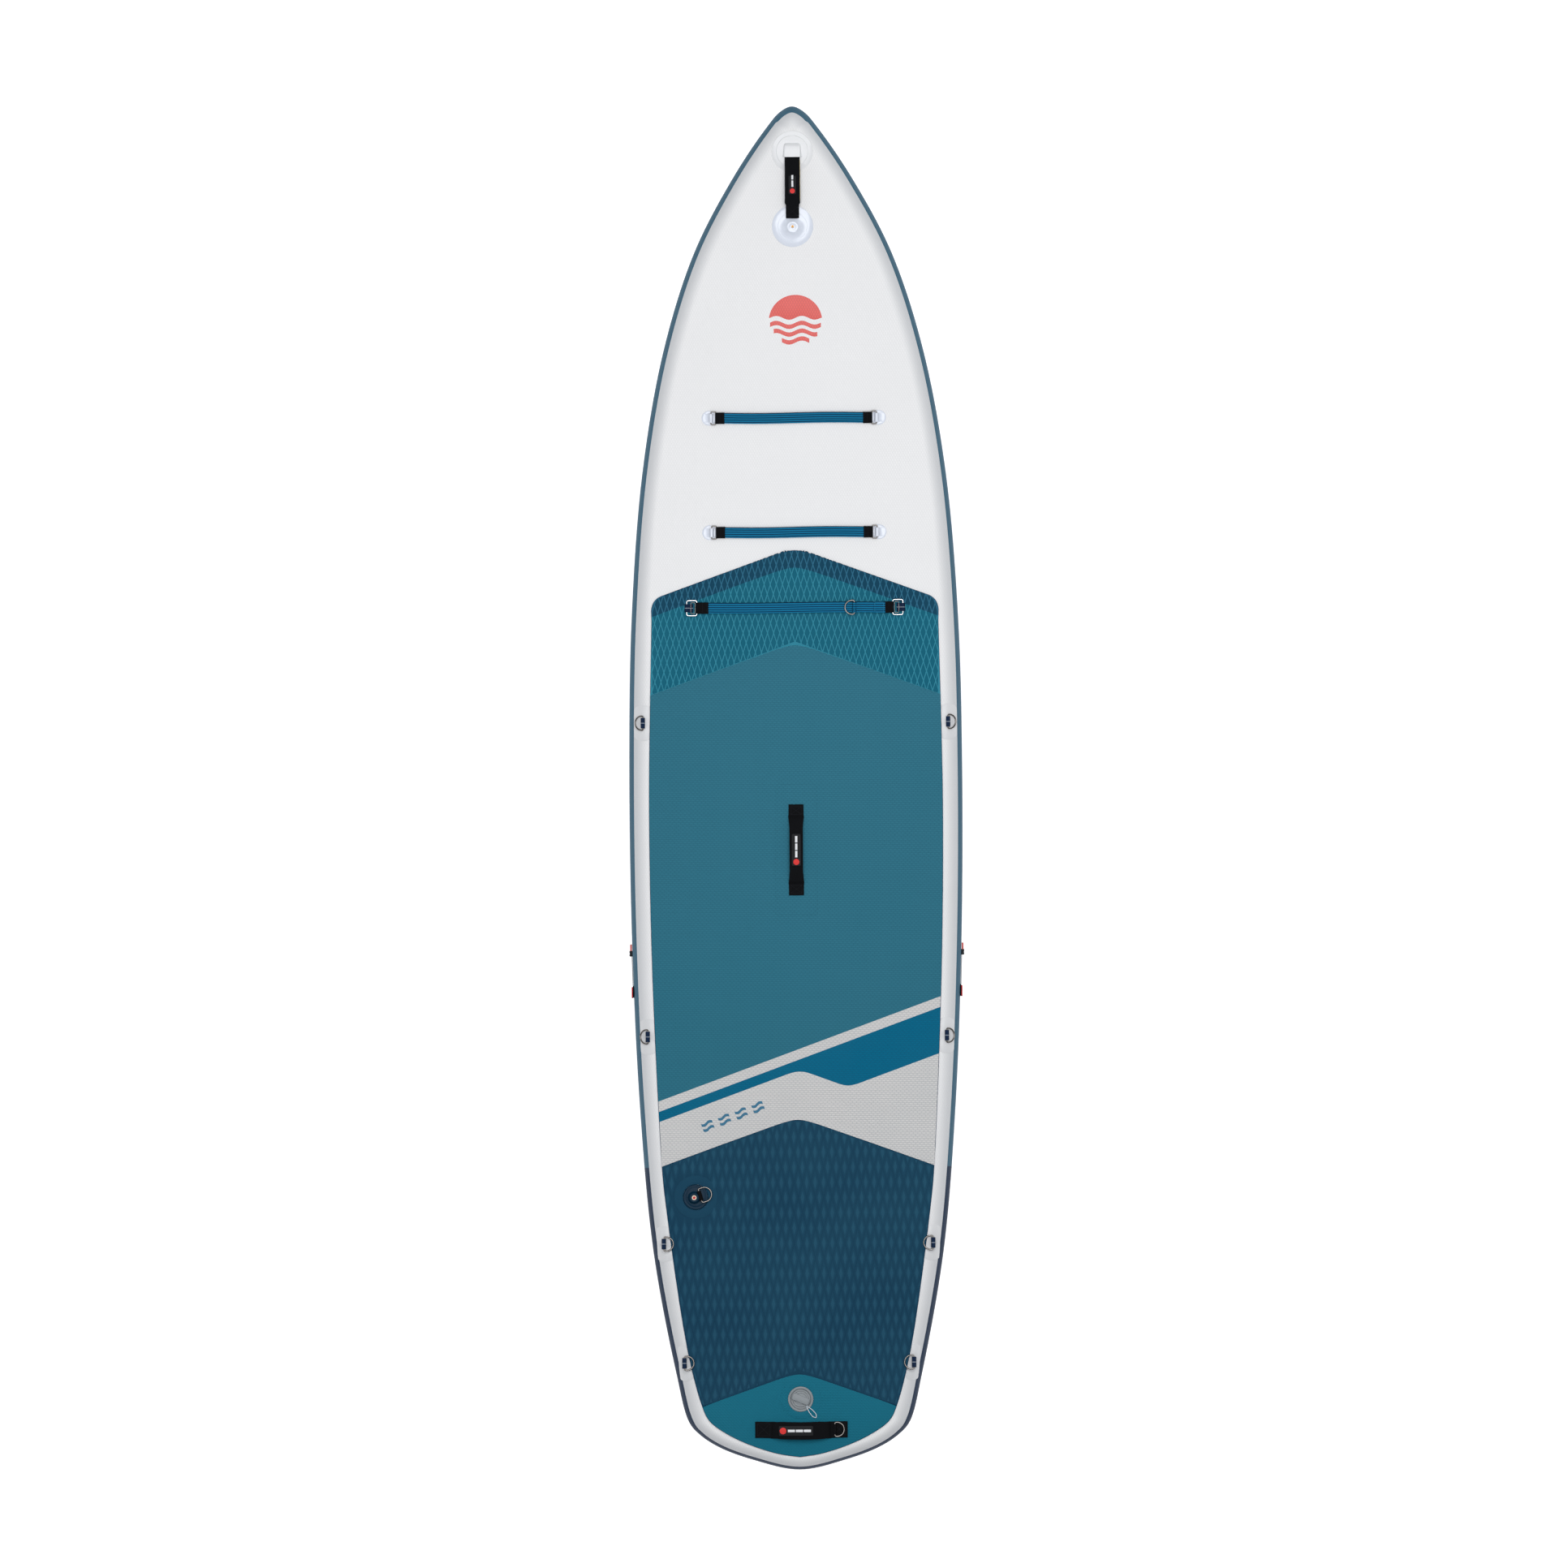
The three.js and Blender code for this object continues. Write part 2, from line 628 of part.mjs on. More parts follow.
function valveBody() {
  const profile = [
    [0, SEAT_TOP - 4], [25.5, SEAT_TOP - 4], [25.5, GAP], [33.5, GAP], [33.5, 5], [32, 6.5],
    [27, 6.5], [26, 5.6], [26, 3], [21, 3], [21, SEAT_TOP], [0, SEAT_TOP],
  ].map(([r, z]) => new THREE.Vector2(r, z));
  const cup = solid(new THREE.LatheGeometry(profile, 28).rotateX(Math.PI / 2));
  let open = cup.subtract(solid(rod(3.5, -60, 0, 0, 0, 16)));
  for (let i = 0; i < 4; i++) {
    const angle = (i * Math.PI) / 2 + Math.PI / 4;
    open = open.subtract(solid(rod(4, -60, 0, 12 * Math.cos(angle), 12 * Math.sin(angle), 12)));
  }
  return open;
}

// A compression spring round the plunger's stem.
function valveSpring() {
  const [turns, radius, wire, low, high] = [4, 5.6, 0.8, SEAT_TOP + 1.2, -11.3];
  class Helix extends THREE.Curve {
    getPoint(t, target = new THREE.Vector3()) {
      const angle = 2 * Math.PI * turns * t;
      return target.set(radius * Math.cos(angle), radius * Math.sin(angle), low + (high - low) * t);
    }
  }
  const section = new THREE.Shape();
  section.absarc(0, 0, wire, 0, 2 * Math.PI);
  const settings = { steps: turns * 10, extrudePath: new Helix(), curveSegments: 3 };
  return new THREE.ExtrudeGeometry(section, settings);
}

const plunger = joined(
  solid(rod(3, PLUNGER_LOW + 1, -8, 0, 0, 16)),
  solid(rod(8, -10, -8, 0, 0, 24)),
  solid(rod(17, PLUNGER_LOW, SEAT_TOP - 4 - GAP, 0, 0, 28)),
);
add("valve_body", valveBody(), VALVE_GREY, atValve);
add("valve_spring", valveSpring(), STAINLESS, atValve);
add("valve_plunger", plunger, VALVE_GREY, atValve);

const CAP_TURN = deg(-22);
function valveCap() {
  const bar = solid(box([-23, -9, 6.9], [23, 9, 12]).rotateZ(CAP_TURN));
  const knob = bar.intersect(solid(rod(23, 6.9, 12, 0, 0, 32)));
  return joined(solid(rod(18.5, -2, 4, 0, 0, 28)), solid(rod(20.4, 3.4, 7.2, 0, 0, 28)), knob);
}
add("valve_cap", valveCap(), VALVE_GREY, atValve);

// A thin ring that lies round the cap, with a loop of cord leading away from it.
function capTether() {
  const collar = solid(rod(24.6, 3.4, 5, 0, 0, 24)).subtract(solid(rod(21.1, 0, 20, 0, 0, 24)));
  const route = [
    [23.6, 0, 4.6], [24.4, -0.6, 7.2], [27, -1.5, 8.6], [36, -4, 8.4], [50, -6, 7.6],
    [64, -4, 7.3], [69, 0, 7.3], [64, 4, 7.3], [50, 6, 7.6], [36, 4, 8.4], [27, 1.5, 8.6],
  ];
  const path = new THREE.CatmullRomCurve3(route.map((p) => new THREE.Vector3(...p)));
  const section = new THREE.Shape();
  section.absarc(0, 0, 1.1, 0, 2 * Math.PI);
  const cord = new THREE.ExtrudeGeometry(section, { steps: 22, extrudePath: path, curveSegments: 3 });
  return joined(collar, solid(cord)).rotate([0, 0, -50]);
}
add("cap_tether", capTether(), VALVE_GREY, atValve);

// ---------- batten pulls on both sides ----------
const sideX = 419;
for (const side of [-1, 1]) {
  const name = side < 0 ? "left" : "right";
  const span = (x0, x1) => [Math.min(side * x0, side * x1), Math.max(side * x0, side * x1)];
  const block = (x0, x1, y0, y1, half) => {
    const [low, high] = span(x0, x1);
    return solid(box([low, y0, MID_Z - half], [high, y1, MID_Z + half]));
  };
  add(`side_tab_${name}`, block(sideX - 8, 430, -537, -505.5, 16).subtract(skinLine), BLACK_WEBBING);
  const pull = joined(
    block(sideX, 429, -415.5, -400, 9),
    block(sideX, 430, -430.5, -415, 11),
    block(sideX, 426.5, -505, -430, 2),
  ).subtract(skinLine);
  add(`side_pull_${name}`, pull, BLACK_PLASTIC);
}

// ---------- fin ----------
const FIN_Y = -1390;
const BOX = { long: 290, wide: 34, deep: 20, slotWide: 10, slotLong: 250, slotDeep: 17 };
const FIN_BASE = 160;
const BLADE_THICK = 8.6;
const atFin = place(0, FIN_Y, FIN_BELOW_HULL - GAP);

function finBox() {
  const plate = [];
  for (const [cx, cy, quarter] of [[28, 140, 0], [-28, 140, 1], [-28, -140, 2], [28, -140, 3]]) {
    for (let i = 0; i <= 4; i++) {
      const angle = ((quarter + i / 4) * Math.PI) / 2;
      plate.push([cx + 20 * Math.cos(angle), cy + 20 * Math.sin(angle)]);
    }
  }
  const base = solid(slab(plate, -3, 0));
  const rail = solid(box([-BOX.wide / 2, -BOX.long / 2, -BOX.deep], [BOX.wide / 2, BOX.long / 2, -2]));
  const [slotX, slotY] = [BOX.slotWide / 2, BOX.slotLong / 2];
  const slot = solid(
    box([-slotX, -slotY, -BOX.deep - 5], [slotX, slotY, BOX.slotDeep - BOX.deep]),
  );
  return joined(base, rail).subtract(slot);
}

// The blade seen from the side, its foot in the slot and its tip at the floor.
function finBlade() {
  const outline = new THREE.Shape();
  const tip = GAP - FIN_BELOW_HULL;
  outline.moveTo(FIN_BASE / 2, -BOX.deep + 13);
  outline.lineTo(-FIN_BASE / 2, -BOX.deep + 13);
  outline.lineTo(-FIN_BASE / 2, -BOX.deep - 1.5);
  outline.bezierCurveTo(-70, -75, -95, -140, -118, tip + 14);
  outline.quadraticCurveTo(-122, tip, -108, tip);
  outline.bezierCurveTo(-60, tip + 18, 20, -110, FIN_BASE / 2 - 22, -BOX.deep - 1.5);
  outline.lineTo(FIN_BASE / 2, -BOX.deep - 1.5);
  const settings = { depth: BLADE_THICK, bevelEnabled: false, curveSegments: 14 };
  const blade = new THREE.ExtrudeGeometry(outline, settings);
  blade.translate(0, 0, -BLADE_THICK / 2).rotateX(Math.PI / 2).rotateZ(Math.PI / 2);
  const screwHole = rod(2.6, -60, 10, 0, FIN_BASE / 2 - 9, 12);
  return solid(blade).subtract(solid(screwHole));
}

const finScrew = joined(
  solid(rod(2.2, -BOX.deep + 4, -BOX.deep + 12, 0, 0, 12)),
  solid(rod(2.2, -BOX.deep - 2, -BOX.deep + 5, 0, 0, 12)),
  solid(rod(4.2, -BOX.deep - 4.6, -BOX.deep - 1.8, 0, 0, 20)),
).translate([0, FIN_BASE / 2 - 9, 0]);
add("fin_box", finBox(), BLACK_PLASTIC, atFin);
add("fin", finBlade(), BLACK_PLASTIC, atFin);
add("fin_screw", finScrew, STAINLESS, atFin);

export default group;
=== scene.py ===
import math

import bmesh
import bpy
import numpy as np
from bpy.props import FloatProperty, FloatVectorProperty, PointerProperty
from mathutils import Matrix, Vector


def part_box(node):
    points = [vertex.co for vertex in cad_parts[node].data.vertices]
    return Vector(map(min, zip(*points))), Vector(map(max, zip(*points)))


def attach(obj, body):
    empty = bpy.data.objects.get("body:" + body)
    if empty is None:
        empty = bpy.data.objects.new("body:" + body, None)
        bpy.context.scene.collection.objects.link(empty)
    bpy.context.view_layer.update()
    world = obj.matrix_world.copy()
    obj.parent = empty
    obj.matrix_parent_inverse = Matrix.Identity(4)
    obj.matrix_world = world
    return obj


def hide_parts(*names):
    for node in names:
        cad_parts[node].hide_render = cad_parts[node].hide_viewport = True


bl_info = {
    "name": "Inflatable paddleboard",
    "version": (1, 0, 0),
    "blender": (4, 5, 0),
    "location": "View3D > Sidebar > Paddleboard",
    "description": "Builds the visible pieces of an inflatable paddleboard round its CAD frame",
    "category": "Object",
}

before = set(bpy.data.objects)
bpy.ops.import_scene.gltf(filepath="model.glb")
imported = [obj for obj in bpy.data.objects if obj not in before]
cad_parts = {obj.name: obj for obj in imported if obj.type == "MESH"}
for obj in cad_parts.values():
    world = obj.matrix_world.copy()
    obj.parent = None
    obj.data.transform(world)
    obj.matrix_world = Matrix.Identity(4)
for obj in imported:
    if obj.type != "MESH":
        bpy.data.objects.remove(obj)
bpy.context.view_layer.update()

# Shapes are worked out in millimetres and turned into metres as each mesh is made.
MM = 0.001


def low(node):
    """The lowest corner of a CAD node, in millimetres."""
    return np.array(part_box(node)[0]) / MM


def high(node):
    """The highest corner of a CAD node, in millimetres."""
    return np.array(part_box(node)[1]) / MM


def middle(node):
    """The middle of a CAD node's box, in millimetres."""
    return (low(node) + high(node)) / 2


GAP = 0.3
HULL_LOW = high("fin_box")[2] + GAP
DECK_Z = low("pad_middle")[2] - GAP
PAD_TOP = high("pad_middle")[2]
HALF = (DECK_Z - HULL_LOW) / 2
MID_Z = (DECK_Z + HULL_LOW) / 2
TIP_Y = high("drop_stitch_core")[1] + 1.2
ROCKER_START, ROCKER_RISE, ROCKER_POWER = 620, 155, 2.2
SIDE_ROUND, STERN_ROUND, NOSE_APEX = 46, 30, 1690
SKIN = 0.9
TAPE_PROUD = 0.5
TAPE_EDGE = 43
CHEVRON_SLOPE, CHEVRON_ROUND = 0.364, 26
SEAMS = {"front": 622, "middle": 377, "rear": -843, "tail": -1498}
NAVY_EDGE = 577
RELIEF = 1.0
WIRE = 2.0
# Height and reach of a D-ring.
D_RING = (40, 28)

OUTLINE = [
    (0, 1752.5), (30, 1739), (72, 1690), (155.5, 1565), (254, 1377), (334, 1126), (390, 813),
    (420, 437), (428, 62), (424, -377), (406, -815), (373, -1191), (316, -1504), (284, -1629),
    (256, -1662), (205, -1695), (119, -1727), (0, -1752.5),
]
PAD_SIDE = [
    (369, 432), (374, 212), (378, -60), (372, -477), (350, -978), (342, -1062), (288, -1440),
    (250, -1590), (232, -1626), (195, -1655), (131, -1687), (57, -1711), (0, -1720),
]
RAIL_RINGS = [(1, True), (2, True), (3, False), (4, False)]
SIDES = {"left": -1, "right": 1}


# ---------- curves and surfaces ----------
def unit(vectors):
    """Vectors made one long."""
    return vectors / np.maximum(np.linalg.norm(vectors, axis=-1, keepdims=True), 1e-12)


def spline(points, steps, ends=None):
    """A centripetal Catmull-Rom curve through points; ends are the guides beyond its ends."""
    inner = [np.array(p, float) for p in points]
    before, after = ends or (2 * inner[0] - inner[1], 2 * inner[-1] - inner[-2])
    p = [np.array(before, float), *inner, np.array(after, float)]
    rows = []
    for a, b, c, d in zip(p, p[1:], p[2:], p[3:]):
        k1, k2, k3 = (max(np.linalg.norm(v), 1e-6) ** 0.5 for v in (b - a, c - b, d - c))
        m1 = ((b - a) / k1 - (c - a) / (k1 + k2) + (c - b) / k2) * k2
        m2 = ((c - b) / k2 - (d - b) / (k2 + k3) + (d - c) / k3) * k2
        for i in range(steps):
            t = i / steps
            h = (2 * t**3 - 3 * t**2 + 1, t**3 - 2 * t**2 + t, 3 * t**2 - 2 * t**3, t**3 - t**2)
            rows.append(h[0] * b + h[1] * m1 + h[2] * c + h[3] * m2)
    rows.append(inner[-1])
    return np.array(rows)


def arc(radius, start, end, steps, centre=(0, 0)):
    """Points of a circular arc, in degrees."""
    turn = np.radians(np.linspace(start, end, steps + 1))
    return [(centre[0] + radius * math.cos(t), centre[1] + radius * math.sin(t)) for t in turn]


def rounded_box(half_x, half_y, radius, centre=(0, 0), steps=5):
    """A rectangle's outline with round corners."""
    x, y = half_x - radius, half_y - radius
    corners = [(x, y, 0), (-x, y, 90), (-x, -y, 180), (x, -y, 270)]
    middles = [(centre[0] + a, centre[1] + b, start) for a, b, start in corners]
    return [p for a, b, start in middles for p in arc(radius, start, start + 90, steps, (a, b))]


def smoothstep(value, start, end):
    """An S-shaped ramp from 0 to 1."""
    t = np.clip((value - start) / (end - start), 0, 1)
    return t * t * (3 - 2 * t)


def rocker(y):
    """How far the board has risen at a place along it."""
    t = np.maximum(0, (np.asarray(y, float) - ROCKER_START) / (TIP_Y - ROCKER_START))
    return ROCKER_RISE * t**ROCKER_POWER


def deck_tilt(y):
    """The deck's slope along the board, in radians."""
    return math.atan(float(rocker(y + 1) - rocker(y - 1)) / 2)


def hull_stations(steps):
    """The outline's points, nose to stern, with where the flat deck starts beside each."""
    edge = spline(OUTLINE, steps, ends=((-30, 1739), (-119, -1727)))
    mirror = np.array([-1, 1])
    longer = np.vstack([edge[1] * mirror, edge, edge[-2] * mirror])
    along = unit(longer[2:] - longer[:-2])
    inset = SIDE_ROUND + (STERN_ROUND - SIDE_ROUND) * smoothstep(-along[:, 0], 0.3, 1)
    flat = edge + np.stack([along[:, 1], -along[:, 0]], 1) * inset[:, None]
    past = (flat[:, 0] < 0) | (flat[:, 1] > NOSE_APEX)
    flat[past] = np.stack([flat[past, 0] * 0, np.minimum(flat[past, 1], NOSE_APEX)], 1)
    return edge, flat, inset


EDGE, FLAT, INSET = hull_stations(10)


def hull_rows(angles, offset, side):
    """Hull points at each station: angle 90 is the flat deck and -90 the flat bottom."""
    k = 1 + offset / HALF
    turn = np.radians(angles)
    out = (k * np.cos(turn))[None, :, None]
    plan = FLAT[:, None] + (EDGE - FLAT)[:, None] * out
    z = MID_Z + HALF * k * np.sin(turn)[None] + rocker(plan[..., 1])
    return np.stack([side * plan[..., 0], plan[..., 1], z], -1)


def deck_height(x, y, offset=0.0):
    """The height of the deck or of its rounded edge at a point, moved out by an offset."""
    points = np.stack([np.abs(np.asarray(x, float)), np.asarray(y, float)], -1)
    flat_points = points.reshape(-1, 2)
    a, b = EDGE[:-1], EDGE[1:]
    span = b - a
    rel = flat_points[:, None] - a[None]
    t = np.clip((rel * span).sum(-1) / (span * span).sum(-1), 0, 1)
    far = np.linalg.norm(rel - t[..., None] * span, axis=-1)
    nearest = far.argmin(1)
    rows = np.arange(len(flat_points))
    inset = INSET[nearest]
    out = np.clip(1 - far[rows, nearest] / inset, 0, 1)
    k = 1 + offset / HALF
    z = MID_Z + HALF * k * np.sqrt(np.clip(1 - (out / k) ** 2, 0, 1))
    return (z + rocker(flat_points[:, 1])).reshape(points.shape[:-1])


def seam(apex, shift=0.0):
    """A chevron across the board with a rounded peak."""
    return lambda x: apex + shift - CHEVRON_SLOPE * np.hypot(x, CHEVRON_ROUND)


# ---------- solids: points, faces and a flow of (along, across, depth) ----------
def loft(rows, looped=False, flow=None):
    """Joins closed rows of points into one surface."""
    rows = np.asarray(rows, float)
    count, around = rows.shape[:2]
    faces = []
    for i in range(count if looped else count - 1):
        j = (i + 1) % count
        for s in range(around):
            n = (s + 1) % around
            faces.append((i * around + s, i * around + n, j * around + n, j * around + s))
    flow = rows if flow is None else np.asarray(flow, float)
    return rows.reshape(-1, 3), faces, flow.reshape(-1, 3)


def sweep(path, section, side=(0, 0, 1), closed=False):
    """Carries a section of (across, depth) points along a path; side is the across direction."""
    path = np.asarray(path, float)
    if closed:
        along = unit(np.roll(path, -1, 0) - np.roll(path, 1, 0))
    else:
        along = unit(np.vstack([path[1:], path[-1:]]) - np.vstack([path[:1], path[:-1]]))
    across = unit(np.broadcast_to(np.asarray(side, float), path.shape))
    depth = unit(np.cross(along, across))
    across = np.cross(depth, along)
    section = np.asarray(section, float)
    if section.ndim == 2:
        section = np.broadcast_to(section, (len(path), *section.shape))
    rows = path[:, None] + section[..., :1] * across[:, None] + section[..., 1:] * depth[:, None]
    run = np.concatenate([[0], np.cumsum(np.linalg.norm(np.diff(path, axis=0), axis=1))])
    distance = np.broadcast_to(run[:, None, None], (*section.shape[:2], 1))
    points, faces, flow = loft(rows, closed, np.concatenate([distance, section], -1))
    if not closed:
        around = section.shape[1]
        faces.append(tuple(range(around)))
        faces.append(tuple(range(len(points) - around, len(points))))
    return points, faces, flow


def circle(radius, sides=12):
    """A round section."""
    turn = 2 * np.pi * np.arange(sides) / sides
    return np.stack([radius * np.cos(turn), radius * np.sin(turn)], 1)


def band(width, thick, round_by=None, crown=0.0):
    """A flat section with rounded edges; crown raises its middle on one face."""
    r = min(thick * 0.48, width * 0.3) if round_by is None else round_by
    w, t = width / 2 - r, thick / 2 - r
    points = [*arc(r, 0, 90, 3, (w, t))]
    points += [(w * f, thick / 2 + crown * (1 - f * f)) for f in (0.6, 0.2, -0.2, -0.6)]
    points += [*arc(r, 90, 180, 3, (-w, t)), *arc(r, 180, 270, 3, (-w, -t))]
    points += [(w * f, -thick / 2) for f in (-0.6, -0.2, 0.2, 0.6)]
    return np.array([*points, *arc(r, 270, 360, 3, (w, -t))])


def lathe(profile, sides=64):
    """Turns a profile of (radius, height) about the Z axis; its ends lie on the axis."""
    turn = 2 * np.pi * np.arange(sides) / sides
    round_about = np.stack([np.cos(turn), np.sin(turn)], 1)
    rows = [np.column_stack([round_about * r, np.full(sides, z)]) for r, z in profile]
    return loft(rows)


def turned_ring(profile, sides):
    """Turns a closed profile of (radius, height) about the Z axis."""
    points, _, _ = lathe(profile, sides)
    return loft(points.reshape(len(profile), sides, 3).transpose(1, 0, 2), True)


def wire_hoop(path, radius, sides):
    """Bent round wire along a closed path."""
    return sweep(path, circle(radius, sides), (0, 0, 1), closed=True)


def moved(part, by=(0, 0, 0), turn=0.0, tilt=0.0):
    """A part tilted about X, turned about Z and moved, leaving its flow alone."""
    points, faces, flow = part
    c, s = math.cos(tilt), math.sin(tilt)
    tilted = points @ np.array([[1, 0, 0], [0, c, s], [0, -s, c]])
    c, s = math.cos(turn), math.sin(turn)
    return tilted @ np.array([[c, s, 0], [-s, c, 0], [0, 0, 1]]) + np.asarray(by, float), faces, flow


def joined(*parts):
    """Several parts as one."""
    points, faces, flows, start = [], [], [], 0
    for p, f, w in parts:
        points.append(p)
        flows.append(w)
        faces += [tuple(i + start for i in face) for face in f]
        start += len(p)
    return np.vstack(points), faces, np.vstack(flows)


def inset_loop(loop, distance):
    """A closed outline moved into the material beside it, on its left."""
    loop = np.asarray(loop, float)
    ahead = unit(np.roll(loop, -1, 0) - loop)
    behind = np.roll(ahead, 1, 0)
    left = np.stack([-ahead[:, 1], ahead[:, 0]], 1) + np.stack([-behind[:, 1], behind[:, 0]], 1)
    left = unit(left)
    miter = np.clip((left * np.stack([-ahead[:, 1], ahead[:, 0]], 1)).sum(1), 0.5, 1)
    return loop + left * (np.broadcast_to(distance, miter.shape) / miter)[:, None]


def turned_way(loop, left_is_inside):
    """An outline going round so that the material is on its left."""
    loop = np.asarray(loop, float)
    after = np.roll(loop, -1, 0)
    area = (loop[:, 0] * after[:, 1] - after[:, 0] * loop[:, 1]).sum()
    return loop if (area > 0) == left_is_inside else loop[::-1]


def plate(outline, bottom, top, chamfer=0.8, holes=()):
    """A flat sheet with softened upper edges and holes. chamfer is a size, or a function of place."""
    bm = bmesh.new()
    loops = [turned_way(outline, True), *(turned_way(h, False) for h in holes)]
    fills = {"low": [], "high": []}
    for loop in loops:
        rings = []
        soft = chamfer(loop) if callable(chamfer) else np.full(len(loop), float(chamfer))
        for inward, down in ((0, None), (0, 1), (0.3, 0.3), (1, 0)):
            heights = np.full(len(loop), float(bottom)) if down is None else top - soft * down
            moved_in = inset_loop(loop, soft * inward)
            rings.append([bm.verts.new((x, y, z)) for (x, y), z in zip(moved_in, heights)])
        for lower, upper in zip(rings, rings[1:]):
            for i in range(len(loop)):
                j = (i + 1) % len(loop)
                bm.faces.new((lower[i], lower[j], upper[j], upper[i]))
        for key, ring in (("low", rings[0]), ("high", rings[-1])):
            pairs = zip(ring, ring[1:] + ring[:1])
            fills[key] += [bm.edges.get(pair) for pair in pairs]
    for edges in fills.values():
        bmesh.ops.triangle_fill(bm, use_beauty=True, edges=edges)
    bm.verts.index_update()
    points = np.array([v.co for v in bm.verts])
    faces = [tuple(v.index for v in f.verts) for f in bm.faces]
    bm.free()
    return points, faces, points.copy()


def stud(outline, bottom, top, share):
    """A low block whose top is its outline shrunk to a share of its size."""
    low_loop = np.asarray(outline, float)
    centre = low_loop.mean(0)
    high_loop = centre + (low_loop - centre) * share
    ends = ((low_loop, bottom), (high_loop, top))
    rows = [np.column_stack([loop, np.full(len(loop), z)]) for loop, z in ends]
    points, faces, _ = loft(rows)
    count = len(low_loop)
    faces += [tuple(range(count)), tuple(range(count, 2 * count))]
    return points, faces, points.copy()


def deck_patch(x, y, radius, heights, limit=None, sides=72):
    """A round patch welded to the deck: heights are (share of the radius, height over the deck).
    limit(angle) shortens the radius where the patch is cut off."""
    rows = []
    turn = 2 * np.pi * np.arange(sides) / sides
    reach = np.full(sides, float(radius))
    if limit is not None:
        reach = np.minimum(reach, [limit(t) for t in turn])
    for share, lift in [*heights, (0.7, 0.02), (0.0, 0.02)]:
        px = x + np.cos(turn) * np.minimum(reach, radius * share)
        py = y + np.sin(turn) * np.minimum(reach, radius * share)
        rows.append(np.stack([px, py, deck_height(px, py, lift)], -1))
    return loft(rows)


def girth_angles():
    """The hull's angle for each distance round the shoulder from the flat deck."""
    angles = np.linspace(90, -90, 181)
    turn = np.radians(angles)
    steps = np.hypot(np.diff(SIDE_ROUND * np.cos(turn)), np.diff(HALF * np.sin(turn)))
    return np.concatenate([[0], np.cumsum(steps)]), angles


GIRTH_RUN, GIRTH_ANGLE = girth_angles()


def shoulder_point(u, y, offset):
    """A point u from the centre line, measured over the rounded shoulder."""
    side = np.where(u < 0, -1.0, 1.0)
    order = np.argsort(FLAT[:, 1])
    flat_x = np.interp(y, FLAT[order, 1], FLAT[order, 0])
    order = np.argsort(EDGE[:, 1])
    edge_x = np.interp(y, EDGE[order, 1], EDGE[order, 0])
    past = np.maximum(0, np.abs(u) - flat_x)
    turn = np.radians(np.interp(past, GIRTH_RUN, GIRTH_ANGLE))
    k = 1 + offset / HALF
    x = np.where(past > 0, flat_x + (edge_x - flat_x) * k * np.cos(turn), np.abs(u))
    return np.stack([side * x, y, MID_Z + HALF * k * np.sin(turn) + rocker(y)], -1)


def shoulder_patch(x, y, radius, heights, sides=96):
    """A round patch on the shoulder, cut off at the pad and at the side tape."""
    side = 1 if x > 0 else -1
    turn = 2 * np.pi * np.arange(sides) / sides
    flat_x = float(np.interp(y, FLAT[::-1, 1], FLAT[::-1, 0]))
    edge_x = float(np.interp(y, EDGE[::-1, 1], EDGE[::-1, 0]))
    over = math.degrees(math.acos(min(1.0, max(0.0, (abs(x) - flat_x) / (edge_x - flat_x)))))
    u = min(abs(x), flat_x) + float(np.interp(over, GIRTH_ANGLE[::-1], GIRTH_RUN[::-1]))
    tape = flat_x + float(np.interp(TAPE_EDGE, GIRTH_ANGLE[::-1], GIRTH_RUN[::-1]))
    outward = np.cos(turn) * side
    reach = np.minimum(radius, [pad_limit(x, y)(t) for t in turn])
    room = np.where(outward > 0.05, (tape - u) / np.maximum(outward, 0.05), 1e9)
    reach = np.minimum(reach, room)
    rows = []
    for share, lift in [*heights, (0.7, 0.05), (0.0, 0.05)]:
        far = np.minimum(reach, radius * share)
        rows.append(shoulder_point(side * (u + outward * far), y + np.sin(turn) * far, lift))
    return loft(rows)


def ring_path(height, reach, wire=WIRE):
    """The centre line of a D-shaped ring: its bar on the Y axis, its bow towards +X."""
    r = height / 2 - wire
    straight = reach - 2 * wire - r
    corner = r * 0.22
    path = [(0, y) for y in np.linspace(-(r - corner), r - corner, 5)]
    path += arc(corner, 180, 90, 4, (corner, r - corner))[1:]
    path += arc(r, 90, -90, 26, (max(straight, corner + 0.5), 0))
    path += arc(corner, -90, -180, 4, (corner, corner - r))[:-1]
    return np.array([(px, py, 0) for px, py in path])


def box_ring_path(span, height, radius, wire):
    """The centre line of a rectangular ring, bars along Y at x = 0 and x = span."""
    half = height / 2 - wire
    corners = [(span - radius, half - radius, 0), (radius, half - radius, 90),
               (radius, radius - half, 180), (span - radius, radius - half, 270)]
    path = []
    for px, py, start in corners:
        path += arc(radius, start, start + 90, 5, (px, py))
    return np.array([(px, py, 0) for px, py in path])


STITCH_PITCH, STITCH_LENGTH, STITCH_WIDTH, STITCH_HEIGHT = 3.4, 2.4, 0.8, 0.45


def stitch_row(start, end):
    """A row of thread stitches between two points on a flat surface."""
    start, end, up = np.array(start, float), np.array(end, float), np.array((0.0, 0.0, 1.0))
    along = unit(end - start)
    across = unit(np.cross(up, along))
    count = max(1, int(np.linalg.norm(end - start) / STITCH_PITCH))
    parts = []
    for i in range(count):
        centre = start + (end - start) * (i + 0.5) / count
        path = [
            centre + along * STITCH_LENGTH * t + up * STITCH_HEIGHT * (0.5 - 2 * t * t)
            for t in (-0.5, -0.2, 0.2, 0.5)
        ]
        parts.append(sweep(path, circle(STITCH_WIDTH / 2, 6), across))
    return joined(*parts)


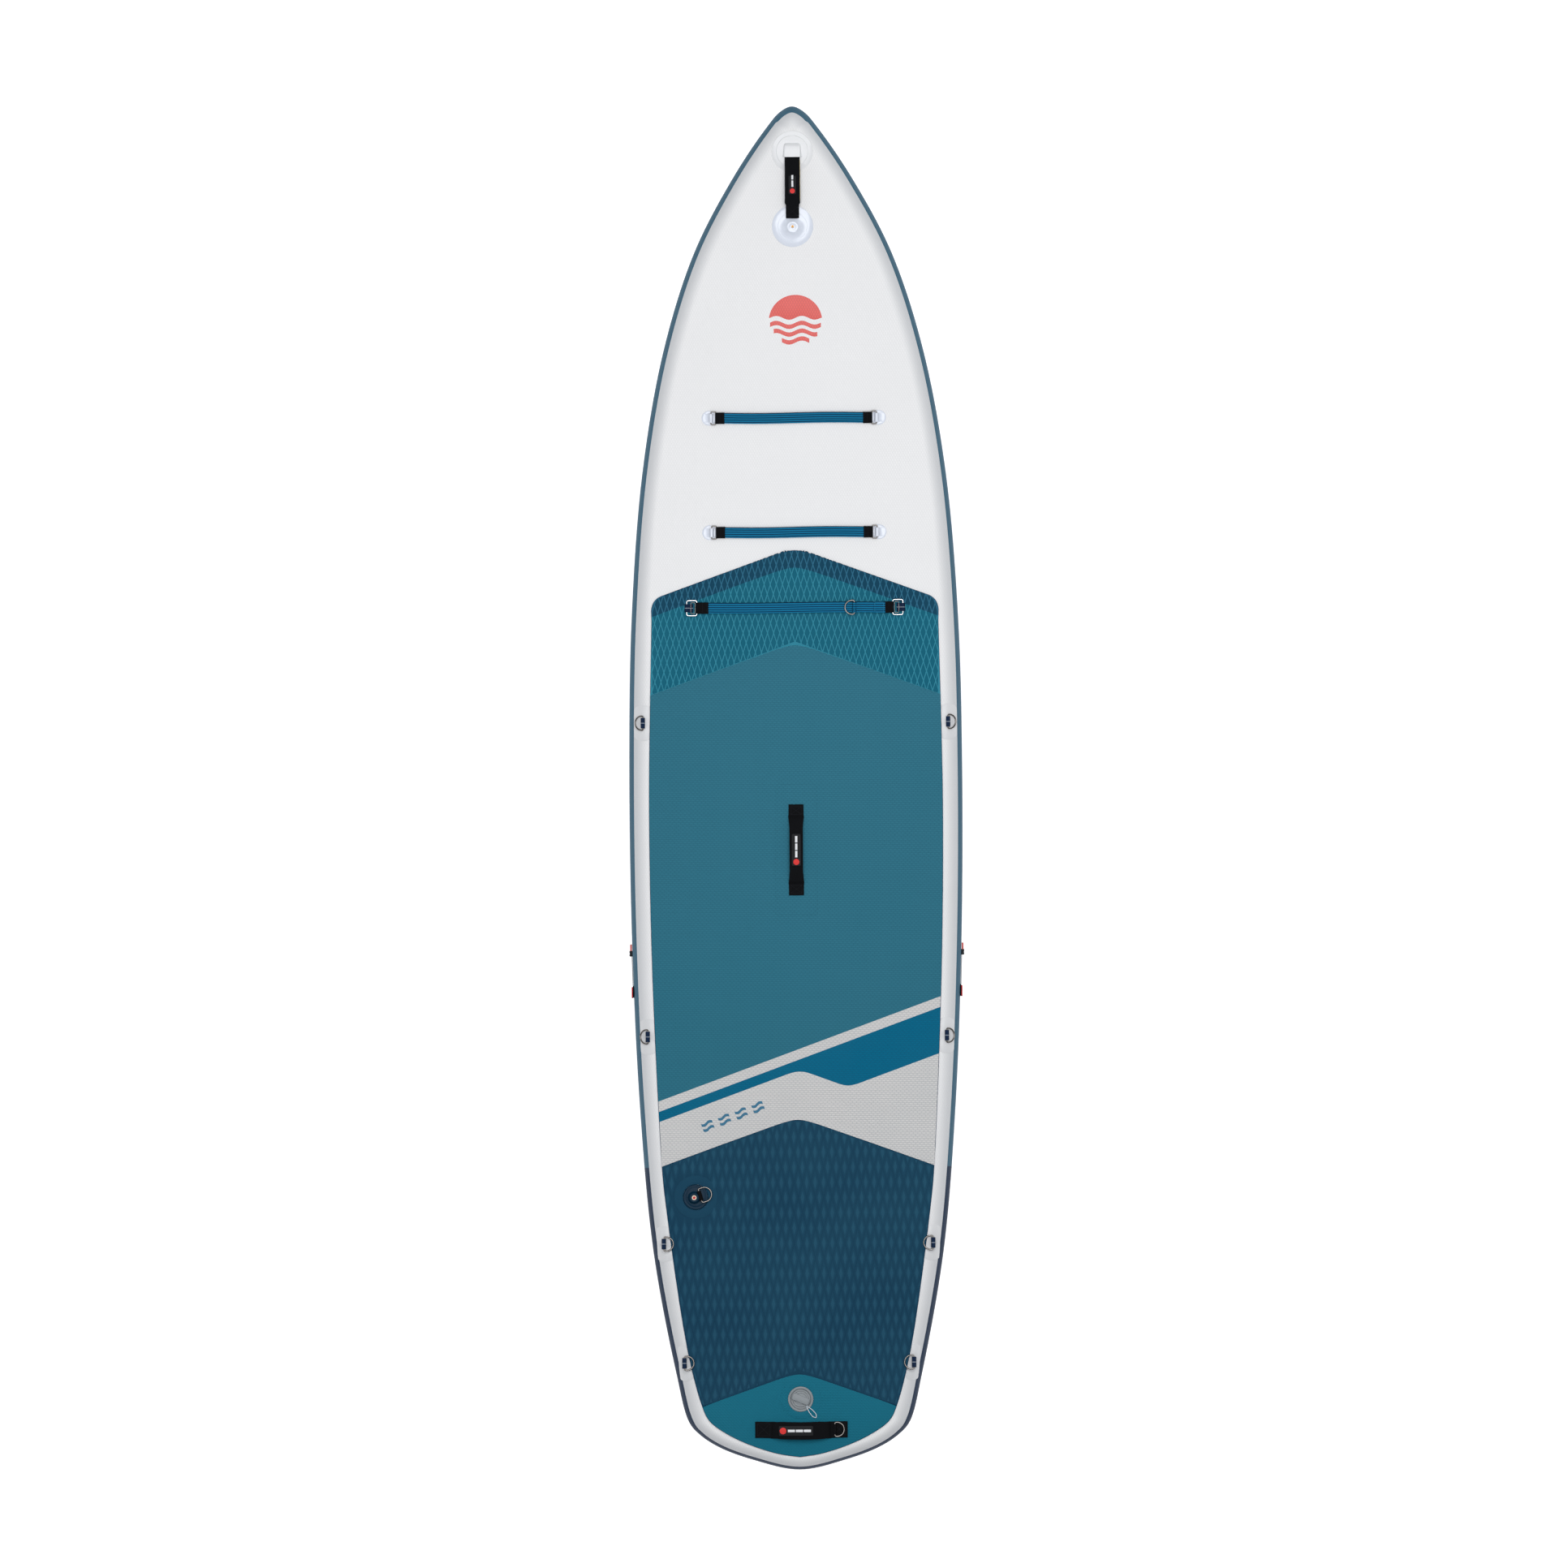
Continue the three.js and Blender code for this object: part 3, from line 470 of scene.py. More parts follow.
def stitch_box(low_corner, high_corner, z, cross=True):
    """A sewn rectangle with a cross in it, on a flat face."""
    (x0, y0), (x1, y1) = low_corner, high_corner
    lines = [((x0, y0), (x1, y0)), ((x1, y0), (x1, y1)), ((x1, y1), (x0, y1)), ((x0, y1), (x0, y0))]
    if cross:
        lines += [((x0, y0), (x1, y1)), ((x1, y0), (x0, y1))]
    return joined(*(stitch_row((*a, z), (*b, z)) for a, b in lines))


CREASE = math.radians(38)


def piece(name, part, material, body="board", stands_for=(), slot=None):
    """Makes an object from a part given in millimetres and fixes it to its body."""
    points, faces, flow = part
    mesh = bpy.data.meshes.new(name)
    mesh.from_pydata((np.asarray(points) * MM).tolist(), [], faces)
    attribute = mesh.attributes.new("flow", "FLOAT_VECTOR", "POINT")
    attribute.data.foreach_set("vector", (np.asarray(flow) * MM).astype(np.float32).ravel())
    bm = bmesh.new()
    bm.from_mesh(mesh)
    bmesh.ops.remove_doubles(bm, verts=bm.verts, dist=1e-6)
    bmesh.ops.dissolve_degenerate(bm, edges=bm.edges, dist=1e-7)
    bmesh.ops.recalc_face_normals(bm, faces=bm.faces)
    bm.to_mesh(mesh)
    bm.free()
    mesh.shade_smooth()
    mesh.set_sharp_from_angle(angle=CREASE)
    mesh.materials.append(material)
    obj = bpy.data.objects.new(name, mesh)
    bpy.context.scene.collection.objects.link(obj)
    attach(obj, body)
    if stands_for:
        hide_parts(*stands_for)
    return obj


# ---------- node helpers ----------
class Graph:
    """Adds nodes to a tree and links them."""

    def __init__(self, tree):
        self.tree = tree

    def add(self, kind, inputs=None, **settings):
        """A new node with its settings and its inputs' values or links."""
        node = self.tree.nodes.new(kind)
        for key, value in settings.items():
            setattr(node, key, value)
        for key, value in (inputs or {}).items():
            if isinstance(value, bpy.types.NodeSocket):
                self.tree.links.new(value, node.inputs[key])
            else:
                node.inputs[key].default_value = value
        return node

    def times(self, a, b, clamp=False):
        """a times b."""
        return self.maths("MULTIPLY", a, b, clamp=clamp)

    def plus(self, a, b):
        """a and b added."""
        return self.maths("ADD", a, b)

    def minus(self, a, b, clamp=False):
        """a less b."""
        return self.maths("SUBTRACT", a, b, clamp=clamp)

    def over(self, a, b):
        """a divided by b."""
        return self.maths("DIVIDE", a, b)

    def sine(self, a):
        """The sine of a."""
        return self.maths("SINE", a)

    def absolute(self, a):
        """a without its sign."""
        return self.maths("ABSOLUTE", a)

    def maths(self, operation, *values, clamp=False):
        """The result of a Math node."""
        node = self.add("ShaderNodeMath", dict(enumerate(values)), operation=operation, use_clamp=clamp)
        return node.outputs[0]

    def mix(self, factor, first, second):
        """Two colours mixed by a factor."""
        node = self.add("ShaderNodeMix", {0: factor, 6: first, 7: second}, data_type="RGBA")
        return node.outputs[2]

    def between(self, value, low_value, high_value):
        """A 0 to 1 value spread between two others."""
        return self.add("ShaderNodeMapRange", {0: value, 3: low_value, 4: high_value}).outputs[0]

    def axes(self, vector):
        """The three parts of a vector."""
        return self.add("ShaderNodeSeparateXYZ", {0: vector}).outputs

    def place(self):
        """Coordinates in the piece's own space, in metres."""
        return self.add("ShaderNodeTexCoord").outputs["Object"]

    def flow(self):
        """The (along, across, depth) coordinates that a swept piece carries."""
        return self.add("ShaderNodeAttribute", attribute_name="flow").outputs["Vector"]

    def bump(self, height, distance, normal=None, strength=1.0):
        """A normal bent by a height given from 0 to 1 over a distance in metres."""
        inputs = {"Height": height, "Distance": distance, "Strength": strength}
        if normal is not None:
            inputs["Normal"] = normal
        return self.add("ShaderNodeBump", inputs).outputs[0]

    def use(self, group, **inputs):
        """A placed effect group, given its inputs by name with _ for spaces."""
        named = {key.replace("_", " "): value for key, value in inputs.items()}
        node = self.tree.nodes.new("ShaderNodeGroup")
        node.node_tree = group
        for key, value in named.items():
            if isinstance(value, bpy.types.NodeSocket):
                self.tree.links.new(value, node.inputs[key])
            else:
                node.inputs[key].default_value = value
        return node.outputs


def effect(name, inputs, outputs, build):
    """An effect group, made once; build returns the output sockets in order."""
    if name in bpy.data.node_groups:
        return bpy.data.node_groups[name]
    tree = bpy.data.node_groups.new(name, "ShaderNodeTree")
    for label, kind, default in inputs:
        socket = tree.interface.new_socket(name=label, in_out="INPUT", socket_type=kind)
        if default is not None:
            socket.default_value = default
    for label in outputs:
        tree.interface.new_socket(name=label, in_out="OUTPUT", socket_type="NodeSocketFloat")
    graph = Graph(tree)
    source = tree.nodes.new("NodeGroupInput")
    results = build(graph, source.outputs)
    target = tree.nodes.new("NodeGroupOutput")
    for label, socket in zip(outputs, results):
        tree.links.new(socket, target.inputs[label])
    return tree


VECTOR_IN = ("Vector", "NodeSocketVector", None)


def number_in(label, default):
    """A number input of an effect group."""
    return (label, "NodeSocketFloat", default)


def lattice_effect():
    """A lattice of crossing slanted lines: Lines is 1 on them and Swell rises to 1 between them."""

    def build(g, given):
        x, y, _ = g.axes(given["Vector"])
        u = g.over(x, given["Across"])
        v = g.over(y, given["Along"])
        far = []
        for slant in (g.plus(u, v), g.minus(u, v)):
            wrapped = g.maths("FRACT", g.plus(slant, 0.5))
            far.append(g.absolute(g.minus(wrapped, 0.5)))
        nearest = g.maths("MINIMUM", far[0], far[1])
        lines = g.minus(1.0, g.over(nearest, given["Line"]), clamp=True)
        swell = g.times(nearest, 2.0, clamp=True)
        return [lines, swell]

    inputs = [VECTOR_IN, number_in("Across", 0.01), number_in("Along", 0.01), number_in("Line", 0.1)]
    return effect("crossing_lattice", inputs, ["Lines", "Swell"], build)


def rows_effect():
    """Rows of short raised dashes, each row shifted by half a dash."""

    def build(g, given):
        x, y, _ = g.axes(given["Vector"])
        row = g.over(y, given["Row"])
        shift = g.times(g.maths("FLOOR", row), 0.5)
        ridge = g.sine(g.times(g.maths("FRACT", row), math.pi))
        dash = g.maths("FRACT", g.plus(g.over(x, given["Dash"]), shift))
        crest = g.sine(g.times(dash, math.pi))
        height = g.times(g.maths("POWER", ridge, 0.6), g.maths("POWER", crest, 0.35))
        return [height, ridge]

    inputs = [VECTOR_IN, number_in("Row", 0.0054), number_in("Dash", 0.011)]
    return effect("dash_rows", inputs, ["Height", "Ridge"], build)


def speckle_effect():
    """Soft blotches and fine grain, each round one half."""

    def build(g, given):
        broad = g.add("ShaderNodeTexNoise",
                      {"Vector": given["Vector"], "Scale": given["Broad"], "Detail": 3.0})
        fine = g.add("ShaderNodeTexNoise", {"Vector": given["Vector"], "Scale": given["Fine"], "Detail": 2.0})
        return [broad.outputs[0], fine.outputs[0]]

    inputs = [VECTOR_IN, number_in("Broad", 4.0), number_in("Fine", 900.0)]
    return effect("speckle", inputs, ["Broad", "Fine"], build)


def weave_effect():
    """Woven tape: ribs along it, crossed by threads that lean one way and then the other."""

    def build(g, given):
        along, across, _ = g.axes(given["Vector"])
        rib = g.over(across, given["Rib"])
        lean = g.minus(g.maths("PINGPONG", rib, 1.0), 0.5)
        thread = g.plus(g.over(along, given["Thread"]), g.times(lean, 1.6))
        ridge = g.absolute(g.sine(g.times(thread, math.pi)))
        groove = g.absolute(g.sine(g.times(rib, math.pi)))
        height = g.times(g.maths("POWER", ridge, 0.7), g.maths("POWER", groove, 0.4))
        return [height, groove]

    inputs = [VECTOR_IN, number_in("Rib", 0.002), number_in("Thread", 0.0016)]
    return effect("tape_weave", inputs, ["Height", "Groove"], build)


def scuff_effect():
    """Fine marks that run one way, and patches where they gather."""

    def build(g, given):
        stretched = g.add("ShaderNodeVectorMath", {0: given["Vector"], 1: (1.0, 9.0, 9.0)},
                          operation="MULTIPLY")
        marks = g.add("ShaderNodeTexNoise", {
            "Vector": stretched.outputs[0], "Scale": given["Scale"], "Detail": 5.0, "Roughness": 0.7})
        patches = g.add("ShaderNodeTexNoise", {"Vector": given["Vector"], "Scale": 40.0, "Detail": 2.0})
        worn = g.times(marks.outputs[0], patches.outputs[0])
        return [marks.outputs[0], worn]

    inputs = [VECTOR_IN, number_in("Scale", 160.0)]
    return effect("scuffs", inputs, ["Marks", "Worn"], build)


# ---------- colours and finishes ----------
def srgb(red, green, blue):
    """A colour given from 0 to 255, as linear light."""
    given = [c / 255 for c in (red, green, blue)]
    return tuple(c / 12.92 if c <= 0.04045 else ((c + 0.055) / 1.055) ** 2.4 for c in given)


def full(colour):
    """A colour with its alpha."""
    return (*tuple(colour)[:3], 1.0)


def shade(colour, factor):
    """A colour made lighter or darker."""
    return (*(min(1.0, c * factor) for c in tuple(colour)[:3]), 1.0)


def material(name, roughness, **sockets):
    """A named material with its Principled shader; sockets take plain numbers."""
    made = bpy.data.materials.new(name)
    made.use_nodes = True
    tree = made.node_tree
    tree.nodes.clear()
    graph = Graph(tree)
    shader = graph.add("ShaderNodeBsdfPrincipled", {"Roughness": roughness})
    for key, value in sockets.items():
        shader.inputs[key.replace("_", " ")].default_value = value
    output = tree.nodes.new("ShaderNodeOutputMaterial")
    tree.links.new(shader.outputs[0], output.inputs[0])
    return made, graph, shader


def connect(graph, shader, colour=None, roughness=None, normal=None):
    """Links the patterned inputs of a shader."""
    for key, socket in (("Base Color", colour), ("Roughness", roughness), ("Normal", normal)):
        if socket is not None:
            graph.tree.links.new(socket, shader.inputs[key])


def finished(name):
    """A material made earlier, or None."""
    return bpy.data.materials.get(name)


PRESSED_WEAVE = {"Across": 0.0067, "Along": 0.0125, "Line": 0.26}


def coated_fabric_finish(name, colour, side_shade_colour):
    """Coated fabric with a fine pressed weave."""
    made, g, shader = material(name, 0.5)
    place = g.place()
    weave = g.use(lattice_effect(), Vector=place, **PRESSED_WEAVE)
    blot = g.use(speckle_effect(), Vector=place, Broad=3.0, Fine=700.0)
    tone = g.mix(blot["Broad"], shade(colour, 0.965), shade(colour, 1.01))
    _, _, drop = g.axes(g.flow())
    # Painted shade: the colour turns to the darker side colour as the skin drops over the rounded shoulder.
    tone = g.mix(g.maths("SQRT", g.times(drop, 80.0, clamp=True)), tone, full(side_shade_colour))
    # Painted shade: the pressed weave's grooves are darker.
    tone = g.mix(g.times(weave["Lines"], 0.4), tone, shade(colour, 0.8))
    height = g.plus(weave["Swell"], g.times(blot["Fine"], 0.35))
    connect(g, shader, tone, g.between(blot["Fine"], 0.42, 0.6), g.bump(height, 0.00022))
    return made


def rail_tape_finish(colours):
    """Glossy tape round the side: steel blue to the waist, then navy, with lengthwise ribs."""
    made, g, shader = material("rail_tape_coating", 0.6, Specular_IOR_Level=0.12)
    place = g.place()
    _, y, _ = g.axes(place)
    _, across, _ = g.axes(g.flow())
    navy = g.maths("MULTIPLY_ADD", g.minus(-0.974, y), 900.0, 0.5, clamp=True)
    lines = g.sine(g.times(across, 2 * math.pi / 0.0062))
    stripe = g.between(g.maths("MULTIPLY_ADD", lines, 0.5, 0.5), 0.0, 1.0)
    blot = g.use(speckle_effect(), Vector=place, Broad=9.0, Fine=1200.0)
    # Lengthwise stripes that follow the ribs: lighter on their crests as painted highlight and darker between
    # them as painted shade.
    steel = g.mix(stripe, shade(colours.rail, 0.86), shade(colours.rail, 1.12))
    dark = g.mix(stripe, shade(colours.rail_navy, 0.85), shade(colours.rail_navy, 1.25))
    tone = g.mix(navy, steel, dark)
    tone = g.mix(g.times(blot["Broad"], 0.16), tone, full(colours.rail_navy))
    height = g.plus(g.times(stripe, 0.8), blot["Fine"])
    connect(g, shader, tone, g.between(blot["Fine"], 0.5, 0.7), g.bump(height, 0.00012))
    return made


def film_finish(name, colour, clear=False):
    """White welded fabric, or clear glossy film over it."""
    if finished(name):
        return finished(name)
    made, g, shader = material(name, 0.4, Coat_Weight=0.6 if clear else 0.1, Coat_Roughness=0.1)
    blot = g.use(speckle_effect(), Vector=g.place(), Broad=24.0, Fine=260.0)
    tone = g.mix(blot["Broad"], shade(colour, 0.93), shade(colour, 1.03))
    rough = g.between(blot["Broad"], 0.14, 0.3) if clear else g.between(blot["Fine"], 0.34, 0.5)
    connect(g, shader, tone, rough, g.bump(blot["Fine"], 0.0001))
    return made


def foam_base(g, colours, place, tone, height, top=PAD_TOP, fine=0.00018):
    """The closed-cell grain and faint blotches of every foam sheet, and its dark lower layer."""
    blot = g.use(speckle_effect(), Vector=place, Broad=5.0, Fine=1500.0)
    tone = g.mix(g.times(blot["Broad"], 0.14), tone, full(colours.foam_dust))
    depth = g.minus((top - 0.45) * MM, g.axes(place)[2])
    tone = g.mix(g.times(depth, 9000.0, clamp=True), tone, full(colours.foam_under))
    grain = g.bump(blot["Fine"], fine)
    return tone, grain if height is None else g.bump(height, 0.0006, grain)


def chevron_mask(g, x, y, apex):
    """1 below a chevron line across the board."""
    bend = g.maths("SQRT", g.maths("MULTIPLY_ADD", x, x, (CHEVRON_ROUND * MM) ** 2))
    line = g.maths("MULTIPLY_ADD", bend, -CHEVRON_SLOPE, apex * MM)
    return g.maths("MULTIPLY_ADD", g.minus(line, y), 1400.0, 0.5, clamp=True)


def below(g, line, y):
    """1 below a line whose height is a socket."""
    return g.maths("MULTIPLY_ADD", g.minus(line, y), 1400.0, 0.5, clamp=True)


def foam_front(colours, raised):
    """The diamond cut foam at the front: navy above its chevron and teal below."""
    made, g, shader = material("foam_front_cells" if raised else "foam_front_grooves", 0.9,
                               Specular_IOR_Level=0.06)
    place = g.place()
    x, y, _ = g.axes(place)
    teal = chevron_mask(g, x, y, NAVY_EDGE)
    if raised:
        tone = g.mix(teal, full(colours.navy_front), full(colours.teal))
    else:
        tone = g.mix(teal, full(colours.navy_line), full(colours.teal_line))
    rows = g.use(rows_effect(), Vector=place, Row=0.0027, Dash=0.0054)
    height = g.times(rows["Height"], 0.12)
    tone, normal = foam_base(g, colours, place, tone, height, PAD_TOP if raised else PAD_TOP - RELIEF)
    connect(g, shader, tone, None, normal)
    return made


def foam_middle(colours):
    """The long middle sheet: fine rows of dashes, with the printed stripe, wedge and pale field."""
    made, g, shader = material("foam_middle_print", 0.9, Specular_IOR_Level=0.06)
    place = g.place()
    x, y, _ = g.axes(place)
    slope = 0.367
    rising = g.times(x, slope)
    stripe_top = g.plus(rising, -0.672)
    stripe_low = g.plus(rising, -0.699)
    falling = g.maths("MULTIPLY_ADD", x, -slope, -0.7215)
    peak = g.maths("SMOOTH_MIN", g.plus(rising, -0.7255), falling, 0.03)
    wedge_low = g.maths("SMOOTH_MAX", peak, g.plus(rising, -0.8172), 0.026)
    rows = g.use(rows_effect(), Vector=place, Row=0.0054, Dash=0.0108)
    fade = g.maths("MULTIPLY_ADD", y, -0.55, 0.35, clamp=True)
    tone = g.mix(fade, full(colours.steel), full(colours.steel_rear))
    tone = g.mix(below(g, stripe_top, y), tone, full(colours.pale_print))
    tone = g.mix(below(g, stripe_low, y), tone, full(colours.wedge))
    tone = g.mix(below(g, wedge_low, y), tone, full(colours.pale_print))
    # Painted shade: the hollows between the rows of dashes are darkened towards navy.
    valley_shade = g.times(g.minus(1.0, rows["Height"]), 0.34)
    tone = g.mix(valley_shade, tone, full(colours.navy_front))
    tone, normal = foam_base(g, colours, place, tone, rows["Height"])
    connect(g, shader, tone, None, normal)
    return made


def foam_rear(colours, raised):
    """The deep faceted foam under the back foot; the flat tops are paler."""
    made, g, shader = material("foam_rear_facets" if raised else "foam_rear_grooves", 0.9,
                               Specular_IOR_Level=0.06)
    place = g.place()
    _, _, z = g.axes(place)
    # Painted shade: the cuts between the facets are a little darker than the facets.
    tone = full(colours.navy_groove_shade)
    if raised:
        # Painted highlight: the flat tops of the facets turn paler.
        crest = g.maths("MULTIPLY_ADD", g.minus(z, (PAD_TOP - 0.12) * MM), 12000.0, 0.5, clamp=True)
        tone = g.mix(crest, full(colours.navy_rear), full(colours.navy_crest_highlight))
    rows = g.use(rows_effect(), Vector=place, Row=0.0026, Dash=0.0052)
    height = g.times(rows["Height"], 0.1)
    tone, normal = foam_base(g, colours, place, tone, height, PAD_TOP - RELIEF)
    connect(g, shader, tone, None, normal)
    return made


def foam_tail(colours):
    """The kick pad's fine rows."""
    made, g, shader = material("foam_tail_rows", 0.9, Specular_IOR_Level=0.06)
    place = g.place()
    rows = g.use(rows_effect(), Vector=place, Row=0.0042, Dash=0.0084)
    # Painted shade: the hollows between the rows of dashes are darkened towards navy.
    valley_shade = g.times(g.minus(1.0, rows["Height"]), 0.22)
    tone = g.mix(valley_shade, full(colours.teal_tail), full(colours.navy_front))
    tone, normal = foam_base(g, colours, place, tone, rows["Height"])
    connect(g, shader, tone, None, normal)
    return made


def webbing_finish(name, colour, line=None):
    """Woven tape in one colour, with a paler thread down its middle if one is given."""
    if finished(name):
        return finished(name)
    made, g, shader = material(name, 0.8, Specular_IOR_Level=0.08)
    flow = g.flow()
    weave = g.use(weave_effect(), Vector=flow, Rib=0.0021, Thread=0.0017)
    blot = g.use(speckle_effect(), Vector=g.place(), Broad=60.0, Fine=1800.0)
    # Painted shade and highlight: the weave is darker in its grooves and lighter on its ridges.
    tone = g.mix(weave["Height"], shade(colour, 0.45), shade(colour, 1.35))
    tone = g.mix(g.times(blot["Broad"], 0.3), tone, shade(colour, 0.7))
    if line is not None:
        _, across, _ = g.axes(flow)
        beside = g.absolute(across)
        stripe = g.maths("MULTIPLY_ADD", g.minus(0.0009, beside), 3000.0, 0.5, clamp=True)
        tone = g.mix(stripe, tone, full(line))
    height = g.plus(weave["Height"], g.times(blot["Fine"], 0.3))
    connect(g, shader, tone, None, g.bump(height, 0.0004))
    return made


def black_tape(colours):
    """Tape of the handles and of the straps' sleeves."""
    return webbing_finish("black_tape", colours.webbing)


def keeper_tape(colours):
    """Navy tape with pale threads, which holds the rings."""
    return webbing_finish("keeper_tape", colours.navy_webbing, srgb(150, 160, 172))


def seam_thread():
    """Dark grey thread of the box stitches."""
    return webbing_finish("grey_thread", srgb(42, 43, 48))


def elastic_finish(colours):
    """Flat elastic cord tape: bright and dark cords side by side."""
    if finished("striped_elastic"):
        return finished("striped_elastic")
    made, g, shader = material("striped_elastic", 0.75, Specular_IOR_Level=0.1)
    flow = g.flow()
    along, across, _ = g.axes(flow)
    cord = g.over(across, 0.0028)
    round_cord = g.absolute(g.sine(g.times(cord, math.pi)))
    pair = g.sine(g.times(across, 2 * math.pi / 0.0056))
    dark = g.maths("MULTIPLY_ADD", pair, 3.0, -0.6, clamp=True)
    twist = g.plus(g.over(along, 0.0024), g.times(cord, 0.8))
    ripple = g.absolute(g.sine(g.times(twist, math.pi)))
    tone = g.mix(dark, full(colours.elastic_bright), full(colours.elastic_dark))
    # Painted shade: the cords darken in the hollows of their twist.
    tone = g.mix(g.times(g.minus(1.0, ripple), 0.25), tone, full(colours.elastic_dark))
    height = g.plus(round_cord, g.times(ripple, 0.4))
    connect(g, shader, tone, None, g.bump(height, 0.0006))
    return made


def metal_finish(name, colour, roughness):
    """Polished wire or turned metal with fine marks."""
    if finished(name):
        return finished(name)
    made, g, shader = material(name, roughness, Metallic=1.0)
    marks = g.use(scuff_effect(), Vector=g.place(), Scale=220.0)
    tone = g.mix(marks["Worn"], shade(colour, 1.08), shade(colour, 0.62))
    rough = g.between(marks["Marks"], roughness * 0.6, roughness * 1.6)
    connect(g, shader, tone, rough, g.bump(marks["Marks"], 0.00006))
    return made


def steel_wire():
    """The dulled steel of the rings."""
    return metal_finish("stainless_wire", srgb(128, 124, 121), 0.2)


def plastic_finish(name, colour, roughness=0.45, grain=0.00008, shine=0.25):
    """Moulded plastic with a spark-eroded grain and rubbed spots."""
    if finished(name):
        return finished(name)
    made, g, shader = material(name, roughness, Specular_IOR_Level=shine)
    place = g.place()
    blot = g.use(speckle_effect(), Vector=place, Broad=30.0, Fine=2200.0)
    marks = g.use(scuff_effect(), Vector=place, Scale=120.0)
    tone = g.mix(g.times(marks["Worn"], 0.5), full(colour), shade(colour, 1.35))
    tone = g.mix(g.times(blot["Broad"], 0.2), tone, shade(colour, 0.82))
    connect(g, shader, tone, g.between(blot["Fine"], roughness * 0.8, roughness * 1.3),
            g.bump(blot["Fine"], grain))
    return made


def print_finish(name, colour):
    """Ink printed on the pressed weave."""
    if finished(name):
        return finished(name)
    made, g, shader = material(name, 0.5)
    place = g.place()
    weave = g.use(lattice_effect(), Vector=place, **PRESSED_WEAVE)
    blot = g.use(speckle_effect(), Vector=place, Broad=40.0, Fine=900.0)
    # Painted shade: the ink is darker in the pressed weave's grooves.
    tone = g.mix(g.times(weave["Lines"], 0.8), full(colour), shade(colour, 0.72))
    tone = g.mix(g.times(blot["Broad"], 0.2), tone, shade(colour, 1.12))
    connect(g, shader, tone, g.between(blot["Fine"], 0.42, 0.62), g.bump(weave["Swell"], 0.0003))
    return made


def core_fabric_finish():
    """The grey knitted faces of the drop-stitch core."""
    made, g, shader = material("drop_stitch_knit", 0.9)
    place = g.place()
    knit = g.use(lattice_effect(), Vector=place, Across=0.003, Along=0.004, Line=0.3)
    blot = g.use(speckle_effect(), Vector=place, Broad=12.0, Fine=800.0)
    # Painted shade: the knit is darker in its grooves.
    tone = g.mix(knit["Lines"], full(srgb(214, 216, 219)), full(srgb(168, 172, 177)))
    tone = g.mix(g.times(blot["Broad"], 0.2), tone, full(srgb(150, 154, 160)))
    connect(g, shader, tone, None, g.bump(knit["Swell"], 0.0003))
    return made


# ---------- settings ----------
def colour_setting(name, description, *value):
    """A colour a user can change."""
    return FloatVectorProperty(name=name, description=description, subtype="COLOR", size=3,
                               min=0.0, max=1.0, default=srgb(*value))


class BoardColours(bpy.types.PropertyGroup):
    """Colours of the board's finishes"""

    white: colour_setting("White", "Coated deck", 236, 236, 237)
    # Painted shade: the bottom's white is a darker copy of the deck's white, so that the underside shows its
    # form.
    white_under_shade: colour_setting("White under", "Coated bottom", 212, 214, 217)
    # Painted shade: a darker white for where the coating turns over the side.
    white_side_shade: colour_setting("White side", "Coating where it turns over the side", 205, 207, 210)
    film: colour_setting("Weld film", "Clear patches over white", 222, 228, 240)
    white_patch: colour_setting("White patch", "Welded patches", 230, 231, 233)
    # Painted shade: the shoulder patches are a darker copy of the white patch colour, for the shade over the
    # shoulders.
    side_patch_shade: colour_setting("Side patch", "Welded patches on the shoulders", 219, 220, 222)
    rail: colour_setting("Rail", "Side tape, nose to waist", 66, 106, 127)
    rail_navy: colour_setting("Rail navy", "Side tape round the tail", 34, 52, 76)
    navy_front: colour_setting("Navy front", "Foam at the pad's front edge", 18, 62, 86)
    navy_line: colour_setting("Navy lines", "Cut lines in the navy foam", 48, 104, 132)
    teal: colour_setting("Teal", "Diamond cut foam", 22, 96, 118)
    teal_line: colour_setting("Teal lines", "Cut lines in the teal foam", 52, 134, 156)
    steel: colour_setting("Steel", "Middle sheet, front", 56, 120, 140)
    steel_rear: colour_setting("Steel rear", "Middle sheet, back", 46, 112, 132)
    pale_print: colour_setting("Pale print", "Stripe and field on the middle sheet", 223, 220, 218)
    wedge: colour_setting("Wedge", "Blue wedge on the middle sheet", 0, 103, 138)
    navy_rear: colour_setting("Navy rear", "Rear foam facets", 24, 62, 86)
    # Painted highlight on the flat tops of the rear facets.
    navy_crest_highlight: colour_setting("Navy crests", "Flat tops of the rear facets", 33, 74, 98)
    # Painted shade in the cuts between the rear facets.
    navy_groove_shade: colour_setting("Navy grooves", "Cuts between the rear facets", 21, 57, 81)
    teal_tail: colour_setting("Tail teal", "Kick pad", 24, 110, 132)
    foam_under: colour_setting("Foam under", "Dark lower layer at the pad's rim", 8, 56, 88)
    foam_dust: colour_setting("Foam bloom", "Faint bloom on the foam", 66, 124, 144)
    webbing: colour_setting("Webbing", "Black tape", 17, 18, 21)
    navy_webbing: colour_setting("Navy webbing", "Ring keepers", 28, 46, 74)
    elastic_bright: colour_setting("Elastic cords", "Bright cords of the straps", 22, 124, 168)
    elastic_dark: colour_setting("Elastic ground", "Dark cords of the straps", 10, 40, 64)
    coral: colour_setting("Coral", "Emblem, pulls and plug", 230, 100, 94)
    valve: colour_setting("Valve grey", "Valve, cap and tether", 132, 138, 142)
    black_plastic: colour_setting("Black plastic", "Fin box, fin and toggles", 26, 28, 32)
    navy_plastic: colour_setting("Navy plastic", "Leash plate", 6, 40, 60)


